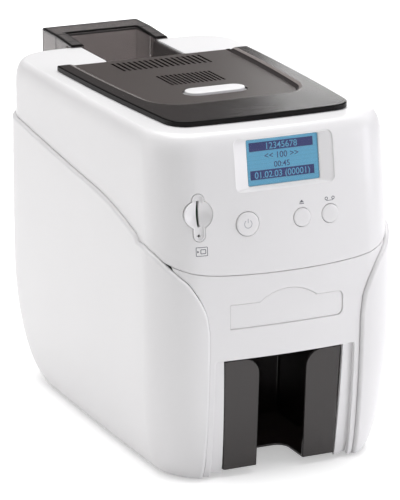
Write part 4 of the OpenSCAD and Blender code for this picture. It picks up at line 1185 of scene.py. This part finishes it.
def makeLid():
    edge = lid["hingeY"] - lid["barrel"] - 0.1
    half, hinge, onTop = lid["barrelHalf"], shell["top"] + lid["hingeZ"], lidTop - 0.01
    plate = slab("topLid", lidLoop(0, lid["hingeY"] - lid["barrel"]), lidZ, lidTop)
    for material in (deepSmoke, paintedShadeSmoke, texturedSmoke, paintedHighlightLip):
        plate.data.materials.append(material)
    # painted shade: the lid's upright sides and its rounded top edge are painted near-black
    paint(plate, 1, lambda c, n: abs(n.z) < 0.5)
    sharpEdges(plate, 50, lambda a, b: min(a.z, b.z) > onTop and min(a.y, b.y) < edge)
    roundPicked(lid["edge"], 4, material=1)
    tail = [(-half, edge - 4), (half, edge - 4), (half, lid["hingeY"]), (-half, lid["hingeY"])]
    addTo(plate, slab("lidTail", tail, lidZ, hinge + lid["barrel"] - 0.1))
    startFresh()
    bpy.ops.mesh.primitive_cylinder_add(vertices=64, radius=lid["barrel"] * mm, depth=2 * half * mm,
                                        location=Vector((0, lid["hingeY"], hinge)) * mm,
                                        rotation=(0, math.pi / 2, 0))
    addTo(plate, settle(named("barrel")))
    levels = ((trayLoop(*lid["traySlope"]), trayZ), (trayLoop(0, 0), lidTop),
              (trayLoop(0, 0), lidTop + 1))
    cutAway(plate, loft("trayCutter", [[(x, y, z) for x, y in loop] for loop, z in levels]))
    # painted highlight: the tray's rounded lip is painted pale grey
    sharpEdges(plate, 15, lambda p, q: min(p.z, q.z) > onTop
               and max(abs(p.x), abs(q.x)) < lid["trayHalf"] + 0.5
               and lid["rearY"] - lid["trayLong"] - 2 < min(p.y, q.y) and max(p.y, q.y) < edge + 4)
    roundPicked(lid["lip"], 4, material=3)
    slots = []
    for count, pitch, width, y0, y1 in (lid["ventsRear"], lid["ventsMiddle"]):
        for i in range(count):
            x = (i - (count - 1) / 2) * pitch
            loop = plainBox(x - width / 2, x + width / 2, lid["rearY"] + y0, lid["rearY"] + y1,
                            width / 2 - 0.05, 5)
            slots.append(slab("slot", loop, lidZ - 1, lidTop + 1))
    cutAway(plate, joinPieces(slots, "slotCutters"))
    cutAway(plate, slab("holeCutter", stadiumLoop(lid["holeLong"], lid["holeR"], lid["holeY"]),
                        lidZ - 1, lidTop + 1))
    sharpEdges(plate, 60, lambda p, q: min(p.z, q.z) > trayZ - 0.01 and max(p.z, q.z) < trayZ + 0.01
               and abs((p.y + q.y) / 2 - lid["holeY"]) < 12 and max(abs(p.x), abs(q.x)) < 26)
    roundPicked(0.3, 2)
    paint(plate, 2, lambda c, n: abs(c.z - trayZ) < 0.02 and n.z > 0.9)
    parts = [plate]
    wide, hole, rim = lid["guideHalf"], lid["guideHole"], shell["top"]
    for y in lid["guides"]:
        guide = block("guide", (-wide, y - 4, rim + lid["guideLow"]), (wide, y + 4, lidZ + 0.01), 0.3)
        cutAway(guide, block("guideHole", (-hole[0], y - 6, rim + hole[1]),
                             (hole[0], y + 6, rim + hole[2])))
        parts.append(guide)
    plate = joinPieces(parts, "topLid")
    smooth(plate, 30)
    return plate


# release button: a white oval that rides in the lid

releasePart = {
    "long": 44.2, "r": 7.8, "proud": 1.6, "flange": (50.0, 10.8),
    # inset and drop
    "profile": [(0, 0.8), (0.12, 0.5), (0.4, 0.22), (0.9, 0.06), (2.4, 0), (4.4, 0.05)],
}


def makeRelease():
    r, y, top = releasePart, lid["holeY"], trayZ + releasePart["proud"]
    levels = [(0, lidZ - 0.5)] + [(d, top - drop) for d, drop in r["profile"]]
    cap = loft("releaseButton", [[(x, v, z) for x, v in stadiumLoop(r["long"] - 2 * d, r["r"] - d, y)]
                                 for d, z in levels])
    flange = slab("flange", stadiumLoop(*r["flange"], y), lidZ - 2.2, lidZ - 0.5)
    stem = block("stem", (-4, y - 2.5, shell["top"] - 8.0), (4, y + 2.5, lidZ - 2.1), 0.3)
    cap = joinPieces([cap, flange, stem], "releaseButton")
    smooth(cap)
    return cap


finishPiece(makeLid(), "lid", deepSmoke, ["top_lid"])
finishPiece(makeRelease(), "release_button", whiteAbs, ["lid_release_button"])
print("lid done")


# feed hopper behind the body: a well for the cards with a hollow back

feedHopper = {
    "wellHalf": 28.3, "wellFront": 59.2, "wellBack": 145.4, "chuteHalf": 29.8, "chuteWall": 1.5,
    "half": 38.5, "outerFront": 120.4, "back": 168.0, "wall": 2.0,
    "low": 98.2, "floor": 100.2, "top": 4.0,
    "flangeFront": 111.4, "flangeLow": 0.3, "flangeTop": 2.1, "slopeFrom": 141.4,
    "edge": 1.3, "crease": 1.4, "cardWay": 1.3, "rollerHalf": 21.0,
}


def makeFeedHopper():
    h, rim, w = feedHopper, shell["top"], feedHopper["wall"]
    # the cutters reach past the hopper
    top, well, wide, past = rim + h["top"], h["wellHalf"], 60, 5
    hopper = block("inputHopper", (-h["half"], h["flangeFront"], h["low"]), (h["half"], h["back"], top))

    def cut(name, half, y0, y1, z0, z1):
        cutAway(hopper, block(name, (-half, y0, z0), (half, y1, z1)))

    cut("underFlange", wide, h["flangeFront"] - past, h["outerFront"], h["low"] - past,
        rim + h["flangeLow"])
    cut("hollow", h["half"] - w, h["outerFront"] + w, h["back"] - w, h["low"] - 1, top - w)
    chuteFront, chuteBack = h["wellFront"] - h["chuteWall"], h["wellBack"] + h["chuteWall"]
    addTo(hopper, block("chute", (-h["chuteHalf"], chuteFront, h["low"]),
                        (h["chuteHalf"], chuteBack, top - 0.01)))
    cut("well", well, h["wellFront"], h["wellBack"], h["floor"], top + past)
    cut("frontTop", wide, h["wellFront"] - 9, h["flangeFront"] + 0.02, rim - 1, top + past)
    cut("flushTop", wide, h["wellFront"] - 9, h["back"] + past, top - 0.03, top + past)
    slopeEnd = h["flangeFront"] - 1
    slope = [(h["slopeFrom"], top - 0.03), (slopeEnd, rim + h["flangeTop"]), (slopeEnd, top + past),
             (h["slopeFrom"], top + past)]
    cutAway(hopper, loft("slope", [[(x, y, z) for y, z in slope] for x in (-wide, wide)]))
    cut("cardWay", well - 0.4, h["wellFront"] - past, h["wellFront"] + past, h["floor"],
        h["floor"] + h["cardWay"])
    hopper.data.materials.append(smokePolycarbonate)
    hopper.data.materials.append(paintedShadeSmoke)
    cut("rollerWay", h["rollerHalf"], low("pick_roller").y - 1, high("pick_roller").y + 1, h["low"] - 1,
        h["floor"] + 1)

    def shown(a, b):
        # edges over the rim and the upright ones at the back, but not the one where the slope begins
        outer = min(a.z, b.z) > rim + 1 or abs(a.z - b.z) > 50 and min(a.y, b.y) > h["back"] - 1
        return outer and not (abs(a.y - b.y) < 0.01 and abs(a.y - h["slopeFrom"]) < 0.1)

    # painted shade: the rounded edges are painted near-black
    sharpEdges(hopper, 8, shown)
    roundPicked(h["edge"], 2, material=1)
    edit(hopper)
    creaseY = h["slopeFrom"] - h["crease"]
    for y in (creaseY, h["slopeFrom"]):
        select()
        bpy.ops.mesh.bisect(plane_co=(0, y * mm, 0), plane_no=(0, 1, 0))
    done()
    # painted shade: the crease over the top and down the sides is painted near-black, so it reads as a
    # dark line
    paint(hopper, 1, lambda c, n: creaseY < c.y < h["slopeFrom"]
          and (n.z > 0.95 and c.z > rim + 2 or abs(c.x) > h["half"] - 0.1))
    smooth(hopper, 30)
    return hopper


# stacker in the mouth: a bin with two front flanges and a way for the fingers


def makeStacker():
    k = stacker

    def ring(z, d):
        half = stackerHalf(z) - d
        y = k["frontY"] + k["lean"] * (1 - (z - k["low"]) / (k["high"] - k["low"])) + d
        return [(x, v, z) for x, v in plainBox(-half, half, y, k["back"] - d, 1.6, 4)]

    tray = loft("outputHopper", [ring(k["low"], 0), ring(k["high"], 0)])
    cutAway(tray, loft("binCutter", [ring(k["low"] + k["wall"], k["wall"]),
                                     ring(k["high"] + 5, k["wall"])]))
    g, r, high, nearY = k["gapHalf"], k["gapRound"], k["high"], k["frontY"] - 9
    gap = mirrored([(g, -5), (g, high - r)] + arc(g + r, high - r, r, 180, 90, 9)[1:]
                   + [(g + r, high + 9)])
    cutAway(tray, loft("gapCutter", [[(x, y, z) for x, z in gap]
                                     for y in (nearY, k["frontY"] + k["lean"] + 4)]))
    finger = plainBox(-g, g, nearY, k["fingerBack"], k["fingerRound"], 8)
    cutAway(tray, slab("fingerCutter", finger, 0, k["low"] + k["wall"] + 2))
    tray.data.materials.append(deepSmoke)
    tray.data.materials.append(paintedShadeSmoke)
    # painted shade: the rounded edges at the front are painted near-black
    sharpEdges(tray, 40, lambda a, b: max(a.y, b.y) < k["frontY"] + 40)
    roundPicked(k["edge"], 2, material=1)
    smooth(tray, 30)
    return tray


finishPiece(makeFeedHopper(), "feed_hopper", smokePolycarbonate,
            ["input_hopper"])
finishPiece(makeStacker(), "stacker", deepSmoke, ["output_hopper"])
print("hoppers done")


# display: clear cover over a lit field of plain digits and arrows

display = {
    "half": (26.3, 15.3), "cover": (4.2, 4.85), "field": (4.95, 5.9), "ink": 0.05,
    "bars": [(-24.2, 22.9, 7.3, 13.2), (-24.2, 22.9, -11.6, -5.5)],      # x from, x to, z from, z to
    "rows": [("12345678", 8.2, 6.0, "light"), ("<< 100 >>", 1.7, 5.8, "dark"),
             ("00:45", -4.3, 5.4, "dark"), ("01.02.03 (00001)", -10.7, 6.0, "light")],
}


def litGlass(name, colour, glow):
    # liquid crystal over a lamp: an even colour that shines a little by itself, with a faint dot grid
    material, tree, place = newMaterial(name)
    spread = addNode(tree, "Mapping", values={"Scale": (1 / (0.42 * mm),) * 3},
                     links={"Vector": (place, "Object")})
    dots = addNode(tree, "TexVoronoi", {"feature": "DISTANCE_TO_EDGE"},
                   {"Scale": 1.0, "Randomness": 0.0}, {"Vector": (spread, "Vector")})
    grid = addNode(tree, "MapRange", values={"From Max": 0.12, "To Min": 0.86, "To Max": 1.0},
                   links={"Value": (dots, "Distance")})
    tint = addNode(tree, "Mix", {"data_type": "RGBA", "blend_type": "MULTIPLY"},
                   {"Factor": 1.0, 6: shade(colour)})
    tree.links.new(grid.outputs["Result"], tint.inputs[7])
    surface = addNode(tree, "BsdfPrincipled",
                      values={"Roughness": 0.35, "IOR": 1.5, "Emission Strength": glow}, links={})
    tree.links.new(tint.outputs[2], surface.inputs["Base Color"])
    tree.links.new(tint.outputs[2], surface.inputs["Emission Color"])
    addNode(tree, "OutputMaterial", links={"Surface": (surface, "BSDF")})
    return material


def clearGlass(name, colour, roughness):
    # clear hard cover: nearly invisible, with sharp small highlights and very faint smears
    material, tree, place = newMaterial(name)
    smear = addNode(tree, "TexNoise", values={"Scale": 1 / (18 * mm), "Detail": 3.0},
                    links={"Vector": (place, "Object")})
    rough = addNode(tree, "MapRange", values={"To Min": roughness * 0.5, "To Max": roughness * 1.5},
                    links={"Value": (smear, "Fac")})
    surface = addNode(tree, "BsdfPrincipled",
                      values={"Base Color": shade(colour), "IOR": 1.49, "Transmission Weight": 1.0},
                      links={"Roughness": (rough, "Result")})
    addNode(tree, "OutputMaterial", links={"Surface": (surface, "BSDF")})
    return material


lcdField = litGlass("litLiquidCrystal", "#6DB4D6", 0.35)
lcdDark = litGlass("darkLiquidCrystal", "#434A86", 0.22)
coverGlass = clearGlass("clearAcrylic", "#FFFFFF", 0.05)


def digits(text, height, x, z, y):
    # a row of plain characters as a thin plate, facing out of the face
    startFresh()
    bpy.ops.object.text_add()
    row = bpy.context.object
    row.data.body = text
    row.data.size = height * mm
    row.data.align_x = "CENTER"
    row.data.extrude = 0.012 * mm
    row.data.offset = 0.035 * mm
    bpy.ops.object.convert(target="MESH")
    row = named("digits")
    edit(row)
    select()
    bpy.ops.mesh.remove_doubles(threshold=0.002 * mm)
    bpy.ops.mesh.normals_make_consistent(inside=False)
    done()
    placeAt(row, Matrix.Translation((x, y, z)) @ Matrix.Rotation(math.pi / 2, 4, "X"))
    return row


def makeDisplay():
    d = display
    hx, hz = d["half"]
    place = onFront(front["displayX"], displayZ)
    glass = frontSlab("displayGlass", plainBox(-hx, hx, -hz, hz, 0.8, 4), d["cover"][0], d["cover"][1])
    roundFront(glass, d["cover"][0], 0.2, 2)
    field = frontSlab("displayField", plainBox(-hx + 0.1, hx - 0.1, -hz + 0.1, hz - 0.1, 0.7, 4),
                      *d["field"])
    dark, light = [], []
    y = d["field"][0]
    for x0, x1, z0, z1 in d["bars"]:
        dark.append(block("bar", (x0, y - d["ink"], z0), (x1, y + 0.02, z1), 0.01, 1))
    for text, z, height, tone in d["rows"]:
        (light if tone == "light" else dark).append(
            digits(text, height, -0.6, z, y - d["ink"] * (1.4 if tone == "light" else 0.6)))
    dark, light = joinPieces(dark, "displayInk"), joinPieces(light, "displayDigits")
    for piece in (glass, field, dark, light):
        placeAt(piece, place)
        smooth(piece, 30)
    return glass, field, dark, light


glassPiece, fieldPiece, inkPiece, digitPiece = makeDisplay()
finishPiece(glassPiece, "body", coverGlass, ["display_glass"])
finishPiece(fieldPiece, "body", lcdField)
finishPiece(inkPiece, "body", lcdDark)
finishPiece(digitPiece, "body", lcdField)
print("display done")


# plain symbols: on the power key, over the two small keys and under the card slot

symbols = {"ink": 0.04, "above": 10.2, "cardZ": -22.6, "powerR": 2.7, "line": 0.55}


def printedInk(name, colour):
    # pad-printed ink: flat and even, thin enough to follow the moulding's grain
    return mouldedPlastic(name, colour, colour, 0.45, 0.6, 0.004)


greyInk = printedInk("darkGreyInk", "#66666E")
paleInk = printedInk("paleGreyInk", "#B4B4BA")


def onFace(loops, cx, cz):
    # printed shape on the front, its outlines given as (x, z) round a place
    placed = [[frontSpot(cx + x, cz + z) for x, z in loop] for loop in loops]
    return layOnBody(flatSheet("print", placed, -0.05, symbols["ink"], 0.01, 1))


def frameLoops(half, high, line):
    return [plainBox(-half, half, -high, high, 0.5, 3),
            plainBox(line - half, half - line, line - high, high - line, 0.3, 3)]


def makeSymbols():
    ejectX, ribbonX = front["eject"][0], front["ribbon"][0]
    z = keyZ + symbols["above"]
    parts = [
        # eject: triangle over a bar
        onFace([[(-1.7, -0.3), (1.7, -0.3), (0, 1.5)]], ejectX, z),
        onFace([[(-1.7, -1.3), (1.7, -1.3), (1.7, -0.8), (-1.7, -0.8)]], ejectX, z),
        # ribbon: two rolls and the film
        onFace([ringLoop(0, 0, 1.2, 20), ringLoop(0, 0, 0.7, 16)], ribbonX - 2.6, z),
        onFace([ringLoop(0, 0, 1.2, 20), ringLoop(0, 0, 0.7, 16)], ribbonX + 2.6, z),
        onFace([[(-2.6, -1.65), (2.6, -1.65), (2.6, -1.3), (-2.6, -1.3)]], ribbonX, z),
    ]
    cardX, cardZ = front["insert"][0] + 1.2, insertZ + symbols["cardZ"]
    # card: a frame, an arrow and a card
    parts.append(onFace(frameLoops(4.0, 3.1, 0.4), cardX, cardZ))
    parts.append(onFace([[(-3.1, -0.9), (-1.9, 0), (-3.1, 0.9)]], cardX, cardZ))
    parts.append(onFace(frameLoops(1.9, 1.6, 0.45), cardX + 0.9, cardZ))
    return joinPieces(parts, "frontSymbols")


def makePowerSymbol():
    r, line = symbols["powerR"], symbols["line"]
    ring = arc(0, 0, r + line / 2, 55, -235, 10) + arc(0, 0, r - line / 2, -235, 55, 10)
    bar = [(-line / 2, 0.6), (line / 2, 0.6), (line / 2, r + 0.9), (-line / 2, r + 0.9)]
    y = keyPart["profile"][0][1]
    mark = joinPieces([frontSlab("powerMark", loop, y - 0.02, y + 0.12) for loop in (ring, bar)],
                      "powerSymbol")
    return placeAt(mark, onFront(front["power"][0], keyZ))


finishPiece(makeSymbols(), "body", greyInk)
finishPiece(makePowerSymbol(), "power_key", paleInk)


# rubber feet, one made and three copied

foot = {
    "places": [(-56, -128), (56, -128), (-50, 76), (50, 76)],
    "profile": [(3.2, "bottom", 0.5), (3.6, "bottom", 0), (5.8, "bottom", 0), (6.5, "bottom", 0.15),
                (7.1, "bottom", 0.9), (7.4, "bottom", 1.8), (7.4, "shoulder", -0.4),
                (7.0, "shoulder", 0),
                (2.5, "shoulder", 0), (2.5, "top", 0)],       # radius, and height over a level
}


def makeFeet():
    heights = {"bottom": low("rubber_feet").z, "shoulder": low("base_tray").z,
               "top": high("rubber_feet").z}
    rings = [[(x, y, heights[level] + dz) for x, y in ringLoop(0, 0, r, 40)]
             for r, level, dz in foot["profile"]]
    first = loft("foot", rings)
    feet = [copyPiece(first, "foot%d" % n, Matrix.Translation((x, y, 0)))
            for n, (x, y) in enumerate(foot["places"])]
    bpy.data.objects.remove(first)
    feet = joinPieces(feet, "rubberFeet")
    smooth(feet)
    return feet


# soft black rubber: matt, slightly dusty, fine skin
blackRubber = mouldedPlastic("blackRubber", "#232325", "#1B1B1D", 0.75, 0.9, 0.03)
finishPiece(makeFeet(), "body", blackRubber, ["rubber_feet"])
print("symbols and feet done")


# finishes of the parts that come straight from the construction

def metal(name, colour, roughness, grain, stretch, deep, tintRange=0.06):
    # bare metal: the grain is stretched along one direction where it was rolled or ground
    material, tree, place = newMaterial(name)
    lay = addNode(tree, "Mapping", values={"Scale": stretch}, links={"Vector": (place, "Object")})
    lines = addNode(tree, "TexNoise", values={"Scale": 1 / (grain * mm), "Detail": 4.0},
                    links={"Vector": (lay, "Vector")})
    stain = addNode(tree, "TexNoise", values={"Scale": 1 / (22 * mm), "Detail": 2.0},
                    links={"Vector": (place, "Object")})
    tint = addNode(tree, "ValToRGB", links={"Fac": (stain, "Fac")})
    base = shade(colour)
    tint.color_ramp.elements[0].color = tuple(c * (1 - 2 * tintRange) for c in base[:3]) + (1,)
    tint.color_ramp.elements[1].color = tuple(min(c * (1 + tintRange), 1) for c in base[:3]) + (1,)
    polish = addNode(tree, "MapRange", values={"To Min": roughness * 0.75, "To Max": roughness * 1.3},
                     links={"Value": (lines, "Fac")})
    bump = addNode(tree, "Bump", values={"Strength": 0.3, "Distance": deep * mm},
                   links={"Height": (lines, "Fac")})
    surface = addNode(tree, "BsdfPrincipled", values={"Metallic": 1.0}, links={
        "Base Color": (tint, "Color"), "Roughness": (polish, "Result"), "Normal": (bump, "Normal")})
    addNode(tree, "OutputMaterial", links={"Surface": (surface, "BSDF")})
    return material


def circuitBoard(name):
    # solder mask over copper: deep green with slightly raised, lighter tracks about a millimetre apart
    material, tree, place = newMaterial(name)
    tracks = addNode(tree, "TexBrick", {"offset": 0.37}, {
        "Color1": shade("#1E5B33"), "Color2": shade("#1A4F2C"), "Mortar": shade("#2F7A48"),
        "Scale": 1 / (14 * mm),
        "Mortar Size": 0.03, "Brick Width": 0.9, "Row Height": 0.11}, {"Vector": (place, "Object")})
    bump = addNode(tree, "Bump", values={"Strength": 0.3, "Distance": 0.04 * mm},
                   links={"Height": (tracks, "Fac")})
    surface = addNode(tree, "BsdfPrincipled", values={"Roughness": 0.35, "Coat Weight": 0.3}, links={
        "Base Color": (tracks, "Color"), "Normal": (bump, "Normal")})
    addNode(tree, "OutputMaterial", links={"Surface": (surface, "BSDF")})
    return material


def dyeFilm(name):
    # ribbon: thin glossy film in panels of yellow, magenta, cyan and black dye, each a card long
    material, tree, place = newMaterial(name)
    split = addNode(tree, "SeparateXYZ", links={"Vector": (place, "Object")})
    along = addNode(tree, "Math", {"operation": "MULTIPLY"}, {1: 1 / (240 * mm)}, {0: (split, "Y")})
    repeat = addNode(tree, "Math", {"operation": "FRACT"}, {}, {0: (along, "Value")})
    panels = addNode(tree, "ValToRGB", links={"Fac": (repeat, "Value")})
    panels.color_ramp.interpolation = "CONSTANT"
    panels.color_ramp.elements[0].color = shade("#C9A81E")
    panels.color_ramp.elements[1].position, panels.color_ramp.elements[1].color = 0.25, shade("#9A1E5A")
    for position, colour in ((0.5, "#14628F"), (0.75, "#17171A")):
        panels.color_ramp.elements.new(position).color = shade(colour)
    wave = addNode(tree, "TexNoise", values={"Scale": 1 / (9 * mm), "Detail": 1.0},
                   links={"Vector": (place, "Object")})
    bump = addNode(tree, "Bump", values={"Strength": 0.3, "Distance": 0.08 * mm},
                   links={"Height": (wave, "Fac")})
    surface = addNode(tree, "BsdfPrincipled", values={"Roughness": 0.16, "IOR": 1.6}, links={
        "Base Color": (panels, "Color"), "Normal": (bump, "Normal")})
    addNode(tree, "OutputMaterial", links={"Surface": (surface, "BSDF")})
    return material


finishes = {
    # zinc-plated sheet, satin with a rolling direction
    "sheet_steel": metal("rolledSheetSteel", "#A9ACAE", 0.38, 0.5, (1, 0.06, 1), 0.01),
    # turned and ground rod: bright, with fine rings
    "ground_steel": metal("groundSteel", "#B9BBBD", 0.16, 0.3, (0.05, 1, 1), 0.004),
    "circuit_board": circuitBoard("greenCircuitBoard"),
    "grey_plastic": mouldedPlastic("greyAcetalCopolymer", "#5B5D61", "#55575B", 0.42, 0.9, 0.012),
    "black_plastic": mouldedPlastic("blackNylon", "#1B1B1D", "#161618", 0.5, 0.7, 0.015),
    # milky white, waxy and slightly warm
    "natural_acetal": mouldedPlastic("naturalAcetal", "#E6E4DC", "#DEDCD2", 0.36, 1.0, 0.01),
    # porous oiled bearing metal: dull, speckled brown gold
    "sintered_bronze": metal("sinteredBronze", "#A8763E", 0.48, 0.35, (1, 1, 1), 0.03, 0.15),
    "brass": metal("turnedBrass", "#C8A04A", 0.24, 0.4, (0.1, 1, 1), 0.006),
    # soft and slightly sticky: even blue with a wet gloss
    "blue_silicone": mouldedPlastic("blueTackySilicone", "#2C6CA0", "#276292", 0.3, 1.6, 0.02),
    "ceramic": mouldedPlastic("glazedCeramic", "#D2C09A", "#C9B68E", 0.18, 2.0, 0.006, coat=0.5),
    # die-cast: light grey with a fine pitted skin
    "cast_aluminium": metal("castAluminium", "#A4A7AA", 0.42, 0.8, (1, 1, 1), 0.03, 0.1),
    "ribbon_film": dyeFilm("dyeRibbonFilm"),
    "ribbon_cassette_plastic": mouldedPlastic("ivoryStyrene", "#CFCBC4", "#C6C2BA", 0.32, 1.1, 0.01),
    "black_rubber": blackRubber,
    "white_abs": whiteAbs,
    "smoke_polycarbonate": smokePolycarbonate,
    "display_glass": coverGlass,
}
slotOf = {part["node"]: part["material_slot"] for part in frame["record"]["subparts"]}
for node, obj in nodes.items():
    if not obj.hide_render:
        for holder in obj.material_slots:
            holder.material = finishes[slotOf[node]]
print("construction parts finished")


# floor, light and camera

stage = {"size": 40, "paper": "#F2F2F2", "shine": 0.42, "sky": 0.4, "glossSky": 0.35}


def makeStage():
    startFresh()
    bpy.ops.mesh.primitive_plane_add(size=stage["size"], location=(0, 0, 0))
    floor = named("floor")
    # pale paper that shows white to the eye and in reflections, and keeps the shadow
    material, tree, place = newMaterial("palePaper")
    fibre = addNode(tree, "TexNoise", values={"Scale": 1 / (4 * mm), "Detail": 3.0},
                    links={"Vector": (place, "Object")})
    bump = addNode(tree, "Bump", values={"Strength": 0.05, "Distance": 0.05 * mm},
                   links={"Height": (fibre, "Fac")})
    path = addNode(tree, "LightPath")
    seen = addNode(tree, "Math", {"operation": "MAXIMUM"}, {},
                   {0: (path, "Is Camera Ray"), 1: (path, "Is Glossy Ray")})
    seenToo = addNode(tree, "Math", {"operation": "MAXIMUM"}, {},
                      {0: (seen, "Value"), 1: (path, "Is Transmission Ray")})
    shine = addNode(tree, "Math", {"operation": "MULTIPLY"}, {1: stage["shine"]},
                    {0: (seenToo, "Value")})
    paper = addNode(tree, "BsdfDiffuse", values={"Color": shade(stage["paper"])},
                    links={"Normal": (bump, "Normal")})
    lift = addNode(tree, "Emission", values={"Color": (1, 1, 1, 1)},
                   links={"Strength": (shine, "Value")})
    both = addNode(tree, "AddShader", links={0: (paper, "BSDF"), 1: (lift, "Emission")})
    addNode(tree, "OutputMaterial", links={"Surface": (both, "Shader")})
    floor.data.materials.append(material)


makeStage()

world = bpy.data.worlds.new("studioWorld")
bpy.context.scene.world = world
world.use_nodes = True
air = world.node_tree
air.nodes.clear()
airPath = addNode(air, "LightPath")
fromEye = addNode(air, "MapRange", values={"To Min": stage["sky"], "To Max": 1.0},
                  links={"Value": (airPath, "Is Camera Ray")})
fromGloss = addNode(air, "MapRange", values={"To Min": 1.0, "To Max": stage["glossSky"]},
                    links={"Value": (airPath, "Is Glossy Ray")})
strength = addNode(air, "Math", {"operation": "MULTIPLY"}, {},
                   {0: (fromEye, "Result"), 1: (fromGloss, "Result")})
sky = addNode(air, "Background", values={"Color": (1, 1, 1, 1)},
              links={"Strength": (strength, "Value")})
addNode(air, "OutputWorld", links={"Surface": (sky, "Background")})


def softLamp(name, place, target, size, watts, colour):
    lamp = bpy.data.lights.new(name, "AREA")
    lamp.shape = "RECTANGLE"
    lamp.size, lamp.size_y = size
    lamp.energy = watts
    lamp.color = shade(colour)[:3]
    holder = bpy.data.objects.new(name, lamp)
    bpy.context.scene.collection.objects.link(holder)
    holder.location = place
    holder.rotation_euler = (Vector(target) - Vector(place)).to_track_quat("-Z", "Y").to_euler()
    holder.visible_camera = False
    return holder


softLamp("topLamp", (0.1, 0.2, 2.2), (0, 0, 0.2), (1.8, 1.8), 46, "#FFFFFF")
softLamp("leftLamp", (-2.1, 0.8, 0.4), (0, 0, 0.1), (1.2, 1.2), 7, "#FFFAFB")
softLamp("backLamp", (1.02, 1.36, 0.42), (0, 0, 0.24), (0.5, 0.36), 3, "#FFFFFF")
softLamp("rightLamp", (1.9, -1.5, 0.4), (0, 0, 0.1), (1.2, 1.2), 20, "#FAF8FF")

view = {
    "spot": (-906.8, -1974.6, 769.6),
    "right": (0.9067, -0.4219, 0.0017),
    "up": (0.1206, 0.2631, 0.9572),
    "back": (-0.4043, -0.8677, 0.2894),
    "lens": 229.0,
}
cameraData = bpy.data.cameras.new("camera")
cameraData.lens = view["lens"]
cameraData.sensor_width = 36
cameraData.sensor_fit = "AUTO"
camera = bpy.data.objects.new("camera", cameraData)
bpy.context.scene.collection.objects.link(camera)
turn = Matrix((view["right"], view["up"], view["back"])).transposed().to_4x4()
camera.matrix_world = Matrix.Translation(Vector(view["spot"]) * mm) @ turn
bpy.context.scene.camera = camera
bpy.context.scene.view_settings.view_transform = "Standard"
